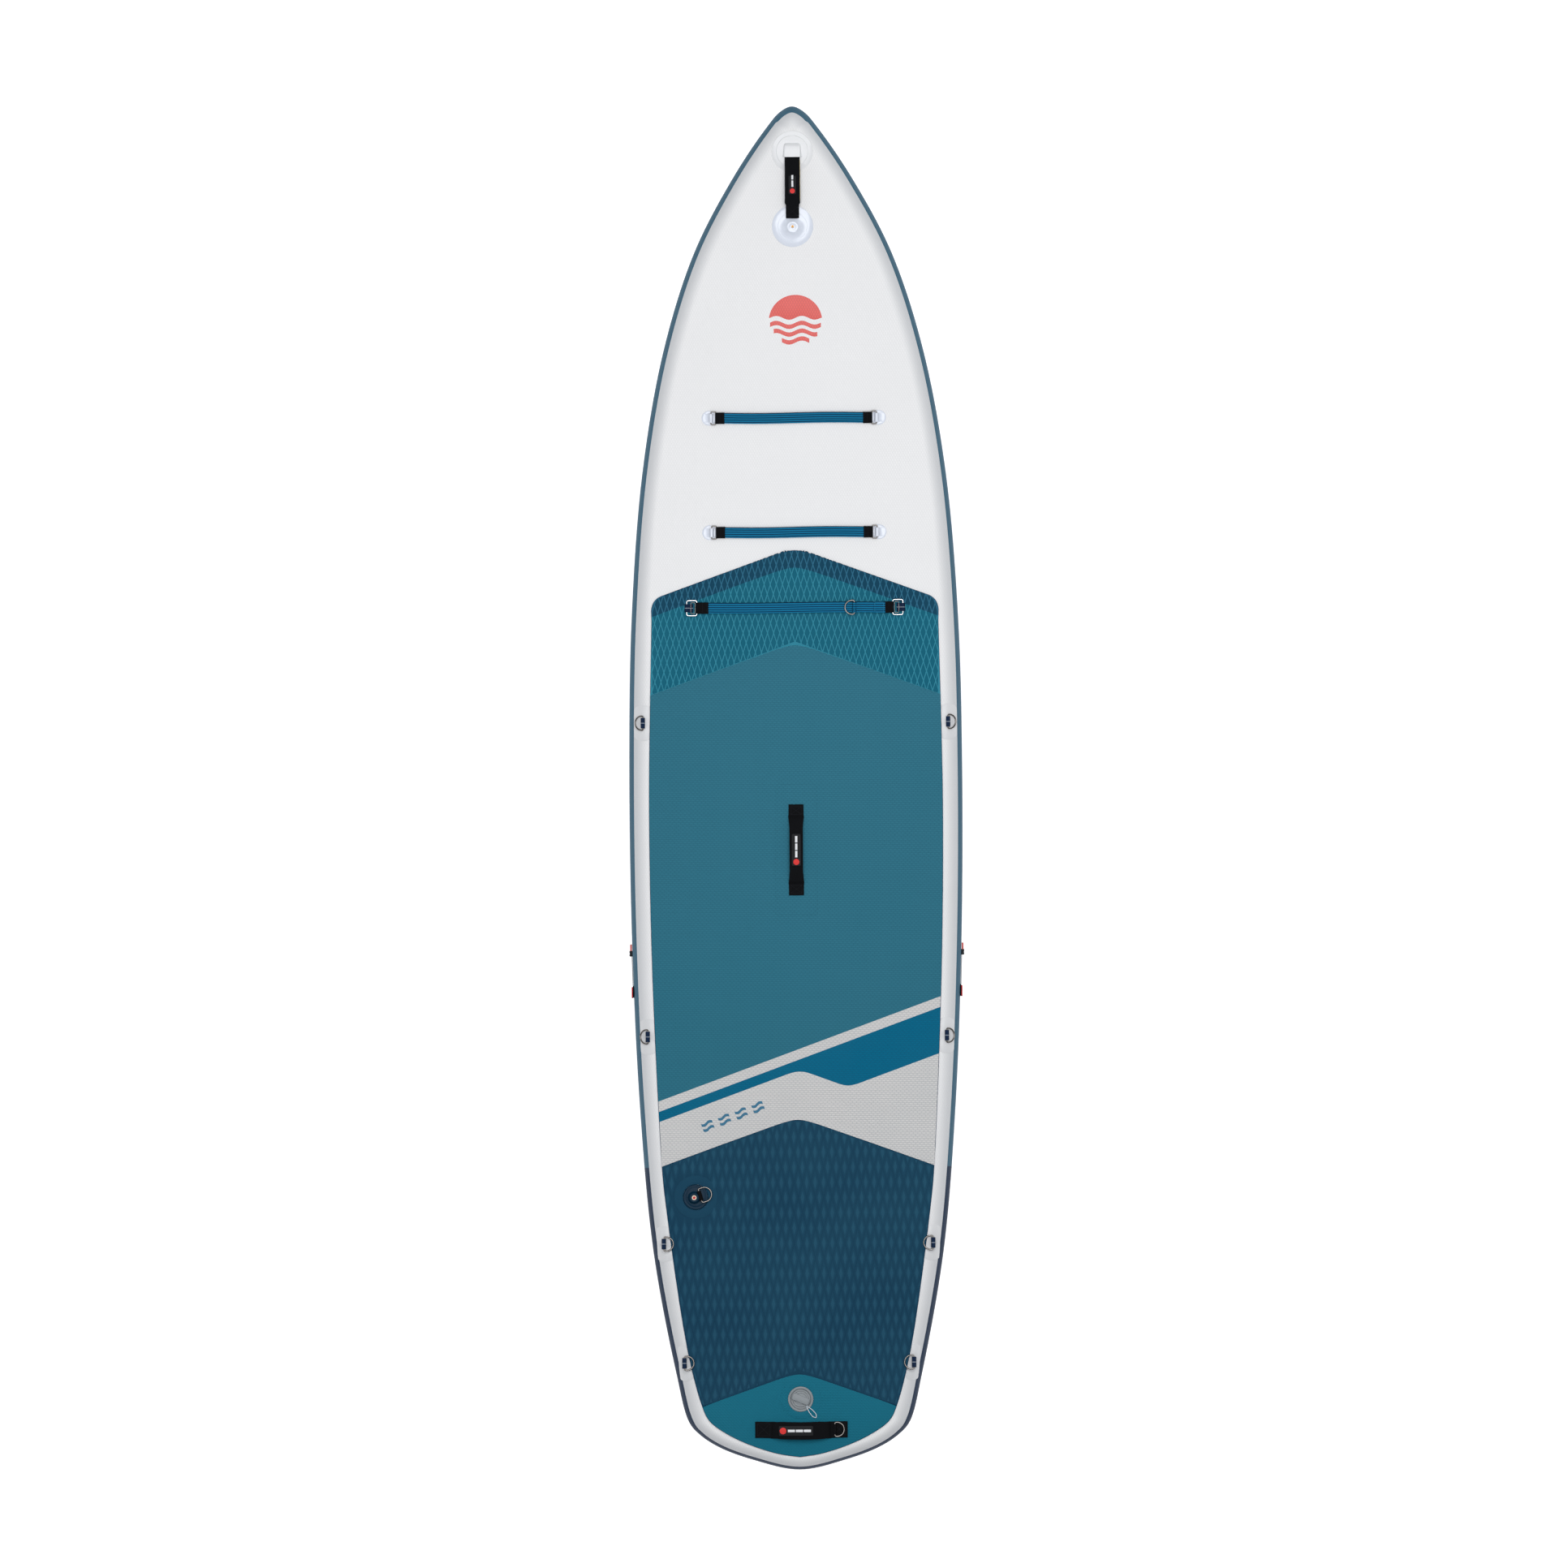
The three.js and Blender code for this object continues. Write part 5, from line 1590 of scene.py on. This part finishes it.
def build_pad_strap(context):
    """The elastic strap over the pad, its steel frames, tape keepers and D-ring."""
    colours, _ = settings(context)
    steel = steel_wire()
    polished = metal_finish("polished_frame", srgb(226, 226, 228), 0.14)
    navy = keeper_tape(colours)
    y = 465
    z = PAD_TOP + STRAP_LIFT - 1.6
    place = (0, y, z)
    first = strap_band("pad_strap", 225, 232, colours, place, bow=0.8)
    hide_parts("cargo_strap_3")
    double = sweep([(x, 0, h) for x, h in ((203, 0.6), (204, 2.2), (218, 2.4), (230, 2.4), (232, 2))],
                   band(28.4, 2.2), side=(0, 1, 0))
    piece("pad_strap_double", moved(double, place), elastic_finish(colours), slot="blue_elastic")
    box = moved(stitch_box((205.5, -12), (228, 12), 3.7, cross=False), place)
    piece("pad_strap_stitches", box, webbing_finish("blue_thread", srgb(60, 150, 190)))
    for name, side in SIDES.items():
        start = 222 if side < 0 else 230
        strap_wrap(f"pad_strap_wrap_{name}", start, 252, side, colours, place)
        path = box_ring_path(26, 42.6, 4.5, 1.8) * (side, side, 1) + (side * 252, 0, 0)
        ring = moved(wire_hoop(path, 1.8, 12), place)
        piece(f"pad_frame_{name}", ring, polished, stands_for=[f"cargo_frame_{name}"], slot="stainless")
        legs = [(262, 0.4 - STRAP_LIFT + 1.6), (264, -5), (269, -1), *arc(3.6, 150, 0, 9, (278, 0)),
                (281.6, -4),
                (283, 0.4 - STRAP_LIFT + 1.6)]
        loop = sweep([(side * x, 0, h) for x, h in legs], band(21, 1.3), side=(0, 1, 0))
        piece(f"pad_frame_keeper_{name}", moved(loop, place), navy, slot="black_webbing")
        inner = box_ring_path(11, 30, 2.5, 0.9) * (side, side, 1) + (side * 256.5, 0, -1.4)
        link = moved(wire_hoop(inner, 0.9, 10), place)
        piece(f"pad_frame_link_{name}", link, steel, slot="stainless")
    axis = np.array((153, y, z + 6.6))
    ring = ring_path(*D_RING) * (-1, 1, 1) + axis
    piece("pad_strap_d_ring", wire_hoop(ring, WIRE, 14), steel,
          body="strap_ring", stands_for=["cargo_strap_ring"], slot="stainless")
    loop = moved(keeper_part(8.6, 27, 6), axis)
    piece("pad_strap_ring_keeper", loop, elastic_finish(colours), slot="blue_elastic")


# ---------- carry handles ----------
def grip_part(half, flat_end, rise, end_wide, mid_wide, thick, bend=0.0):
    """A webbing grip along X that lies flat at its ends and arches between; bend moves its middle in Y."""
    xs = np.linspace(-half, half, 73)
    run = half - flat_end
    up = rise * np.sqrt(np.clip(np.cos(np.clip(xs / run, -1, 1) * math.pi / 2), 0, 1))
    share = smoothstep(np.abs(xs), run * 0.62, run * 0.98)
    block = smoothstep(np.abs(xs), run - 1.5, run + 1.5)
    widths = mid_wide + (end_wide - mid_wide) * share
    swell = 1.6 * np.exp(-(((np.abs(xs) - run) / 5) ** 2))
    thicks = thick + (3.6 - thick) * block
    tips = np.minimum(1, (half - np.abs(xs)) / 1.2)
    thicks = np.maximum(thicks * (0.35 + 0.65 * np.sqrt(np.clip(tips, 0, 1))), 1.0)
    sideways = bend * np.cos(xs / half * math.pi / 2) ** 2
    path = np.stack([xs, sideways, up + thick / 2 * (1 - block) + 1.9 * block], 1)
    return tape_run(path, widths + swell, thicks, (0, 1, 0), 0.5)


def sewn_end(start, end, wide, z):
    """The doubled tape sewn over a handle's end, and its stitches."""
    xs = np.linspace(start, end, 9)
    thick = [1.0, 1.8, 2, 2, 2, 2, 2, 1.8, 1.0]
    block = tape_run([(x, 0, z) for x in xs], [wide] * 9, thick, (0, 1, 0))
    inset = 5
    x0, x1 = min(start, end) + inset, max(start, end) - inset
    return block, stitch_box((x0, inset - wide / 2), (x1, wide / 2 - inset), z + 1.05)


TAG_LIFT = 22.2


def build_handles(context):
    """The centre and tail carry handles, with the tail handle's D-ring."""
    colours, _ = settings(context)
    black = black_tape(colours)
    thread = seam_thread()
    base = PAD_TOP + GAP
    cx, cy, _ = middle("centre_handle")
    place, turn = (cx, cy, base), math.pi / 2
    grip = moved(grip_part(117, 32, 16, 38.6, 34.5, 5.4), place, turn)
    piece("middle_grip", grip, black, stands_for=["centre_handle"], slot="black_webbing")
    for name, side in (("front", 1), ("rear", -1)):
        block, stitches = sewn_end(side * 86, side * 116, 37.6, 4.3)
        piece(f"middle_grip_end_{name}", moved(block, place, turn), black, slot="black_webbing")
        piece(f"middle_grip_stitches_{name}", moved(stitches, place, turn), thread)
    add_badge("middle_grip", 82, 23, (cx, cy, base + TAG_LIFT), turn)
    x0, x1 = low("tail_handle")[0], high("tail_handle")[0]
    place = ((x0 + x1) / 2, middle("tail_handle")[1], base)
    half = (x1 - x0) / 2
    piece("tail_grip", moved(grip_part(half, 46, 16, 42, 45, 5.4, bend=-3.5), place), black,
          stands_for=["tail_handle"], slot="black_webbing")
    for name, side in (("left", -1), ("right", 1)):
        block, stitches = sewn_end(side * (half - 43), side * (half - 1), 41, 4.3)
        piece(f"tail_grip_end_{name}", moved(block, place), black, slot="black_webbing")
        piece(f"tail_grip_stitches_{name}", moved(stitches, place), thread)
    add_badge("tail_grip", 88, 25, (place[0] - 14, place[1] - 3.3, base + TAG_LIFT), 0.0)
    steel = steel_wire()
    axis = np.array((low("tail_handle_ring")[0] + WIRE, place[1], base + 7.6))
    ring = wire_hoop(ring_path(*D_RING) + axis, WIRE, 14)
    piece("tail_grip_ring", ring, steel, body="tail_ring", stands_for=["tail_handle_ring"], slot="stainless")
    piece("tail_grip_ring_keeper", moved(keeper_part(8.8, 27, 4.4), axis), black, slot="black_webbing")


# ---------- leash point ----------
LEASH_TURN = math.radians(17)


def build_leash(context):
    """The moulded leash plate with its hub, plug, keeper and ring."""
    colours, _ = settings(context)
    navy = plastic_finish("leash_moulding", colours.navy_plastic, 0.35, shine=0.1)
    centre = np.array((-264, -1050, low("leash_anchor")[2]))
    profile = [(0, 0), (32, 0), (32.5, 0.6), (32.5, 4.6), (32.1, 5.4), (31, 6), (27, 6.2), (26.4, 5.9),
               (25.6, 5.9),
               (25, 6.2), (19, 6.4), (15, 6.2), (0, 6.2)]
    piece("leash_plate", moved(lathe(profile), centre, LEASH_TURN), navy, stands_for=["leash_anchor"],
          slot="navy_plastic")
    hub = [(0, 5.5), (17, 5.5), (16.6, 6.4), (14.6, 8.2), (13, 10.8), (12.2, 12.8), (11.2, 13.8), (9.6, 14),
           (8.4, 13.6), (7.4, 13.2), (0, 13.2)]
    local = [(0, 12.5), (6, 12.5), (6.2, 13.4), (5.8, 14.1), (4.6, 14.3), (3.6, 13.9), (0, 13.9)]
    core = [(0, 13.5), (3.5, 13.5), (3.4, 14.3), (2.6, 14.8), (0, 15)]
    ivory = plastic_finish("plug_ivory", srgb(226, 206, 184), 0.4)
    red = plastic_finish("plug_red", srgb(190, 48, 52), 0.4)
    middle_parts = [("hub", hub, 64, navy, "navy_plastic"), ("plug_collar", local, 40, ivory, None),
                    ("plug", core, 32, red, None)]
    for name, profile, sides, finish, slot in middle_parts:
        turned = moved(moved(lathe(profile, sides), (-4, 0, 0)), centre, LEASH_TURN)
        piece(f"leash_{name}", turned, finish, slot=slot)
    axis_local = np.array((12, 0, 10.5))
    c, s = math.cos(LEASH_TURN), math.sin(LEASH_TURN)
    axis = centre + (axis_local[0] * c, axis_local[0] * s, axis_local[2])
    black = black_tape(colours)
    piece("leash_keeper", moved(keeper_part(9.4, 26, 6), axis, LEASH_TURN), black, slot="black_webbing")
    steel = steel_wire()
    ring = moved(wire_hoop(ring_path(41, 34), WIRE, 14), axis, LEASH_TURN)
    piece("leash_d_ring", ring, steel, body="leash_ring", stands_for=["leash_ring"], slot="stainless")


# ---------- valve ----------
CAP_TURN = math.radians(-22)
TETHER_TURN = math.radians(-50)


def build_valve(context):
    """The inflation valve: body, cap, tether, plunger and spring."""
    colours, _ = settings(context)
    grey = plastic_finish("valve_moulding", colours.valve, 0.4)
    cap_grey = plastic_finish("cap_moulding", shade(colours.valve, 1.08), 0.42)
    x, y, _ = middle("valve_body")
    centre = (x, y, DECK_Z)
    bottom = low("valve_body")[2] - DECK_Z
    body = [(0, bottom), (25, bottom), (25.5, bottom + 0.5), (25.5, GAP), (32, GAP), (32.6, 0.8), (32.6, 5.2),
            (32.1, 6.1), (31, 6.5), (28.4, 6.5), (27, 6.1), (26.3, 5.2), (25.8, 3.4), (25, 3), (21.6, 3),
            (21, 2.4), (21, bottom + 4), (0, bottom + 4)]
    piece("valve_housing", moved(lathe(body, sides=96), centre), grey, stands_for=["valve_body"],
          slot="valve_grey")
    cap = [(0, -2), (18, -2), (18.5, -1.4), (18.5, 3.4), (19.8, 3.5), (20.4, 4), (20.4, 6.2), (19.8, 7),
           (18.6, 7.2),
           (16.6, 7.2), (15.9, 6.4), (14.6, 6.2), (13.8, 6.9), (13, 7.2), (8, 7.3), (0, 7.3)]
    piece("cap_disc", moved(lathe(cap, sides=96), centre), cap_grey, body="cap", stands_for=["valve_cap"],
          slot="valve_grey")
    reach, spread = 23, math.degrees(0.39)
    outline = [*arc(reach, -spread, spread, 8), *arc(reach, 180 - spread, 180 + spread, 8)]
    bar = plate(outline, 6.4, 12, 1.6)
    piece("cap_grip", moved(bar, centre, CAP_TURN), cap_grey, body="cap", slot="valve_grey")
    collar = [(21.2, 3.5), (24.3, 3.5), (24.7, 3.9), (24.7, 4.7), (24.3, 5.1), (21.2, 5.1)]
    piece("tether_collar", moved(turned_ring(collar, 72), centre), cap_grey, body="tether",
          stands_for=["cap_tether"],
          slot="valve_grey")
    half = [(23.6, 0.6, 4.6), (24.6, 0.8, 7.2), (27.5, 1.8, 8.6), (34, 3.6, 8.4), (46, 5.4, 7.6),
            (56, 4.6, 7.2)]
    route = [*half, (61.5, 0, 7.1), *((x, -y, z) for x, y, z in half[::-1])]
    cord = sweep(spline(route, 6), circle(1.15, 12), (0, 0, 1))
    piece("tether_cord", moved(cord, centre, TETHER_TURN),
          plastic_finish("tether_nylon", srgb(196, 206, 214), 0.35),
          body="tether", slot="valve_grey")
    paint(bpy.data.objects["valve_plunger"], grey)
    paint(bpy.data.objects["valve_spring"], metal_finish("spring_wire", srgb(170, 172, 176), 0.3))


# ---------- side pulls ----------
TAB_SEWN = [(-1.5, 31, 31), (1.6, 31, 31), (2.6, 30.4, 30.2), (3, 28.6, 28)]
TAB_FLAG = [(2.8, 24, 27.4), (3.1, 25, 28.6), (5.2, 25, 28.6), (5.8, 24, 27.4)]
TOGGLE_HALF = [(0, 0), (3.2, 0), (4.4, 0.8), (4.9, 2), (4.9, 5), (4.3, 6)]
TOGGLE_ENDS = [(4.3, 9), (4.9, 10), (4.9, 13), (4.4, 14.4), (3, 15.2), (0, 15.2)]
LOOP_HALF = [(-415.6, 4), (-410, 6.4), (-404, 7.4), (-400.4, 4.4)]


def side_edge(side, y, out):
    """X on the board's widest line, moved outwards."""
    return side * (float(np.interp(y, EDGE[::-1, 1], EDGE[::-1, 0])) + out)


def side_stack(side, y, layers):
    """A sewn pad on the side tape, from layers of (lift, length, height)."""
    path = [(side_edge(side, y, lift), y, MID_Z) for lift, _, _ in layers]
    return sweep(path, np.array([band(long, high) for _, long, high in layers]))


def toggle_part():
    """A waisted barrel that lies along Y."""
    points, faces, flow = lathe([*TOGGLE_HALF, *TOGGLE_ENDS], sides=36)
    return points[:, (0, 2, 1)], faces, flow


def pull_loop_part(side):
    """The coral tape loop that a finger pulls."""
    x = side_edge(side, -408, 3.4)
    route = [*LOOP_HALF, (-399.6, 0), *((y, -h) for y, h in LOOP_HALF[::-1])]
    return sweep(spline([(x, y, MID_Z + h) for y, h in route], 5), band(4.6, 1.4), side=(1, 0, 0))


def pull_cord_part(side, height):
    """One thin cord from the tab to the toggle, bending a little."""
    ys = np.linspace(-430, -506, 15)
    heights = height * (0.6 + 0.4 * np.cos((ys + 468) / 24))
    path = [(side_edge(side, y, 1.7), y, MID_Z + h) for y, h in zip(ys, heights)]
    return sweep(path, circle(0.95, 10))


def build_side_pulls(context):
    """On each side a sewn tab, two thin cords, a toggle and a coral loop."""
    colours, _ = settings(context)
    coral = webbing_finish("coral_tape", colours.coral)
    red = webbing_finish("red_tape", srgb(206, 40, 44))
    cord_grey = webbing_finish("grey_cord", srgb(150, 152, 156))
    toggle_black = plastic_finish("toggle_moulding", srgb(30, 31, 34), 0.5)
    for name, side in SIDES.items():
        piece(f"side_tab_sewn_{name}", side_stack(side, -521, TAB_SEWN), black_tape(colours),
              stands_for=[f"side_tab_{name}"], slot="black_webbing")
        piece(f"side_tab_flag_{name}", side_stack(side, -523, TAB_FLAG), red, slot="black_webbing")
        toggle = moved(toggle_part(), (side_edge(side, -423, 3.2), -430.4, MID_Z))
        piece(f"side_toggle_{name}", toggle, toggle_black, stands_for=[f"side_pull_{name}"],
              slot="black_plastic")
        piece(f"side_loop_{name}", pull_loop_part(side), coral, slot="black_webbing")
        for row, height in (("upper", 3.4), ("lower", -3.4)):
            piece(f"side_cord_{row}_{name}", pull_cord_part(side, height), cord_grey, slot="black_webbing")


# ---------- fin ----------
def bezier(points, steps):
    """Points of a Bezier curve of any degree."""
    rows = []
    for t in np.linspace(0, 1, steps):
        p = [np.array(q, float) for q in points]
        while len(p) > 1:
            p = [a * (1 - t) + b * t for a, b in zip(p, p[1:])]
        rows.append(p[0])
    return np.array(rows)


def fin_blade_part(fin_y, root):
    """The raked blade: foiled sections between a front and a back curve, rounded at the tip."""
    front = bezier([(58, root), (20, 112), (-60, 18.3), (-107, 0.6)], 40)
    back = bezier([(-80, root), (-70, HULL_LOW - 75.3), (-95, HULL_LOW - 140.3), (-119, 13)], 30)
    back = np.vstack([back, bezier([(-119, 13), (-121, 1.4), (-107, 0.6)], 11)[1:]])
    line = np.linspace(0, 1, 17)
    curve = 0.2969 * np.sqrt(line) - 0.126 * line - 0.3516 * line**2 + 0.2843 * line**3 - 0.1036 * line**4
    rows = []
    for i, (a, b) in enumerate(zip(front, back)):
        share = i / (len(front) - 1)
        thick = 4.3 * (1 - 0.62 * share) * (1 if share < 1 else 0.05)
        foil = 2.9 * thick * curve * 1.72
        chord = a + (b - a) * line[:, None]
        top = np.column_stack([foil, chord[:, 0] + fin_y, chord[:, 1]])
        under = np.column_stack([-foil[1:-1], chord[1:-1, 0] + fin_y, chord[1:-1, 1]])[::-1]
        rows.append(np.vstack([top, under]))
    points, sides, flow = loft(np.array(rows))
    count = len(rows[0])
    ends = [tuple(range(count)), tuple(range(len(points) - count, len(points)))]
    return points, [*sides, *ends], flow


def build_fin(context):
    """The fin's foiled blade and foot, its box and its screw."""
    colours, _ = settings(context)
    plastic = plastic_finish("fin_moulding", colours.black_plastic, 0.42)
    box_plastic = plastic_finish("fin_box_moulding", colours.black_plastic, 0.5)
    fin_y = round(float(middle("fin_box")[1]))
    root = HULL_LOW - GAP - 21.5
    piece("fin_blade", fin_blade_part(fin_y, root), plastic, body="fin", stands_for=["fin"],
          slot="black_plastic")
    foot = [(-4.3, -80), (4.3, -80), (4.3, 62), (4.3, 80), (-4.3, 80), (-4.3, 62)]
    hole = arc(2.9, 0, 330, 11, (0, 71))
    foot_plate = plate(foot, root - 0.6, HULL_LOW - GAP - 7, 0.6, holes=[hole])
    piece("fin_foot", moved(foot_plate, (0, fin_y, 0)), plastic, body="fin", slot="black_plastic")
    paint(bpy.data.objects["fin_screw"], metal_finish("screw_steel", srgb(188, 190, 194), 0.22))
    slot_hole = [(5, -125), (5, 125), (-5, 125), (-5, -125)]
    weld = plate(rounded_box(48, 160, 20, steps=10), 0, 3, 1.2)
    rail = plate(rounded_box(17, 145, 3), 1, 20, 1.0, holes=[slot_hole])
    for name, part in (("fin_weld_plate", weld), ("fin_rail", rail)):
        points, faces, flow = part
        flipped = points * (1, 1, -1) + (0, fin_y, HULL_LOW - GAP)
        made = piece(name, (flipped, faces, flow), box_plastic, slot="black_plastic")
        if name == "fin_rail":
            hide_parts("fin_box")


# ---------- stage ----------
FLOOR_WIDTH, FLOOR_GLOW = 60.0, 0.78
CAMERA_X, CAMERA_Y = -0.0305, 0.0115
CAMERA_ROLL = math.radians(-0.34)
WORLD_LIGHT, WORLD_SEEN = 0.3, 1.03
LIGHTS = [
    ("overhead", (0.3, 0.6, 7.0), (5.0, 6.0), 360.0),
    ("left_fill", (-6.0, -2.0, 3.0), (3.0, 5.0), 22.0),
    ("right_fill", (6.0, 3.0, 3.0), (3.0, 5.0), 16.0),
]


def see_through_from_below(made):
    """Leaves out the floor for whoever looks up at the board from underneath."""
    nodes, links = made.node_tree.nodes, made.node_tree.links
    output = next(node for node in nodes if node.type == "OUTPUT_MATERIAL")
    opaque = output.inputs["Surface"].links[0].from_socket
    clear = nodes.new("ShaderNodeBsdfTransparent")
    side = nodes.new("ShaderNodeNewGeometry")
    mixer = nodes.new("ShaderNodeMixShader")
    links.new(side.outputs["Backfacing"], mixer.inputs[0])
    links.new(opaque, mixer.inputs[1])
    links.new(clear.outputs[0], mixer.inputs[2])
    links.new(mixer.outputs[0], output.inputs["Surface"])


def build_floor(context):
    """The pale floor, which glows a little so that it stays white."""
    mesh = bpy.data.meshes.new("floor")
    half = FLOOR_WIDTH / 2
    corners = [(-half, -half, 0), (half, -half, 0), (half, half, 0), (-half, half, 0)]
    mesh.from_pydata(corners, [], [(0, 1, 2, 3)])
    floor = bpy.data.objects.new("floor", mesh)
    context.scene.collection.objects.link(floor)
    made, g, shader = material("pale_floor", 0.9, Specular_IOR_Level=0.1)
    blot = g.use(speckle_effect(), Vector=g.place(), Broad=1.0, Fine=60.0)
    connect(g, shader, g.mix(blot["Broad"], full(srgb(186, 187, 189)), full(srgb(190, 190, 191))))
    shader.inputs["Emission Color"].default_value = full(srgb(255, 255, 255))
    shader.inputs["Emission Strength"].default_value = FLOOR_GLOW
    see_through_from_below(made)
    mesh.materials.append(made)


def build_lamps(context):
    """Three soft lamps, all aimed at the middle of the board."""
    for name, place, size, power in LIGHTS:
        lamp = bpy.data.lights.new(name, "AREA")
        lamp.shape = "RECTANGLE"
        lamp.size, lamp.size_y = size
        lamp.energy = power
        holder = bpy.data.objects.new(name, lamp)
        holder.location = place
        holder.rotation_mode = "QUATERNION"
        aim = -holder.location
        holder.rotation_quaternion = aim.to_track_quat("-Z", "Y")
        context.scene.collection.objects.link(holder)


def build_world(context):
    """A dim cool sky for the light, seen as white behind the floor's edge."""
    world = bpy.data.worlds.new("studio")
    context.scene.world = world
    world.use_nodes = True
    nodes, links = world.node_tree.nodes, world.node_tree.links
    sky = nodes["Background"]
    sky.inputs["Color"].default_value = (0.93, 0.96, 1.0, 1.0)
    path = nodes.new("ShaderNodeLightPath")
    strength = nodes.new("ShaderNodeMath")
    strength.operation = "MULTIPLY_ADD"
    strength.inputs[1].default_value = WORLD_SEEN - WORLD_LIGHT
    strength.inputs[2].default_value = WORLD_LIGHT
    links.new(path.outputs["Is Camera Ray"], strength.inputs[0])
    links.new(strength.outputs[0], sky.inputs["Strength"])


def build_camera(context):
    """A camera straight above, so far away that the view is nearly parallel."""
    _, sizes = settings(context)
    camera = bpy.data.cameras.new("camera")
    camera.lens = sizes.lens
    camera.sensor_width = 36.0
    camera.clip_end = 300.0
    holder = bpy.data.objects.new("camera", camera)
    distance = sizes.seen_width * sizes.lens / camera.sensor_width
    holder.location = (CAMERA_X, CAMERA_Y, DECK_Z * MM + distance)
    holder.rotation_euler = (0.0, 0.0, CAMERA_ROLL)
    context.scene.collection.objects.link(holder)
    context.scene.camera = holder


def build_stage(context):
    """Floor, lamps, sky and camera."""
    build_floor(context)
    build_lamps(context)
    build_world(context)
    build_camera(context)
    context.scene.view_settings.view_transform = "Standard"


# ---------- operators ----------
def operator(name, label, text, build):
    """An operator that builds one group of pieces."""

    def execute(self, context):
        build(context)
        return {"FINISHED"}

    return type(f"BOARD_OT_{name}", (bpy.types.Operator,), {
        "bl_idname": f"board.{name}", "bl_label": label, "bl_options": {"REGISTER", "UNDO"},
        "__doc__": text, "execute": execute,
    })


OPERATORS = [
    operator("stage", "Stage", "Makes the floor, lights and camera", build_stage),
    operator("hull", "Hull", "Makes the deck, bottom and side tape", build_hull),
    operator("emblem", "Emblem", "Prints the bow emblem", build_emblem),
    operator("front_pad", "Front pad", "Makes the diamond cut front sheet", build_front_pad),
    operator("middle_pad", "Middle pad", "Makes the printed middle sheet", build_middle_pad),
    operator("small_print", "Small print", "Prints the waves on the pale field", build_small_print),
    operator("rear_pad", "Rear pad", "Makes the faceted rear sheet", build_rear_pad),
    operator("tail_pad", "Tail pad", "Makes the kick pad", build_tail_pad),
    operator("side_rings", "Side rings", "Makes the eight side rings", build_side_rings),
    operator("nose", "Nose", "Makes the nose handle and the screw mount", build_nose),
    operator("bow_straps", "Bow straps", "Makes the two bow straps", build_bow_straps),
    operator("pad_strap", "Pad strap", "Makes the strap over the pad", build_pad_strap),
    operator("handles", "Handles", "Makes the centre and tail handles", build_handles),
    operator("leash", "Leash point", "Makes the leash plate and ring", build_leash),
    operator("valve", "Valve", "Makes the valve, cap and tether", build_valve),
    operator("side_pulls", "Side pulls", "Makes the tabs and pulls on both sides", build_side_pulls),
    operator("fin", "Fin", "Makes the fin and its box", build_fin),
]


class BOARD_PT_pieces(bpy.types.Panel):
    """Lists what the add-on builds"""

    bl_label = "Paddleboard"
    bl_idname = "BOARD_PT_pieces"
    bl_space_type = "VIEW_3D"
    bl_region_type = "UI"
    bl_category = "Paddleboard"

    def draw(self, context):
        for made in OPERATORS:
            self.layout.operator(made.bl_idname)


CLASSES = [BoardColours, BoardSizes, *OPERATORS, BOARD_PT_pieces]


def register():
    """Registers the classes and the scene's settings."""
    for made in CLASSES:
        bpy.utils.register_class(made)
    bpy.types.Scene.board_colours = PointerProperty(type=BoardColours)
    bpy.types.Scene.board_sizes = PointerProperty(type=BoardSizes)


def unregister():
    """Takes the classes and settings away."""
    del bpy.types.Scene.board_colours
    del bpy.types.Scene.board_sizes
    for made in reversed(CLASSES):
        bpy.utils.unregister_class(made)


def main():
    """Builds the board and writes its size."""
    register()
    for made in OPERATORS:
        group, name = made.bl_idname.split(".")
        getattr(getattr(bpy.ops, group), name)()


if __name__ == "__main__":
    main()
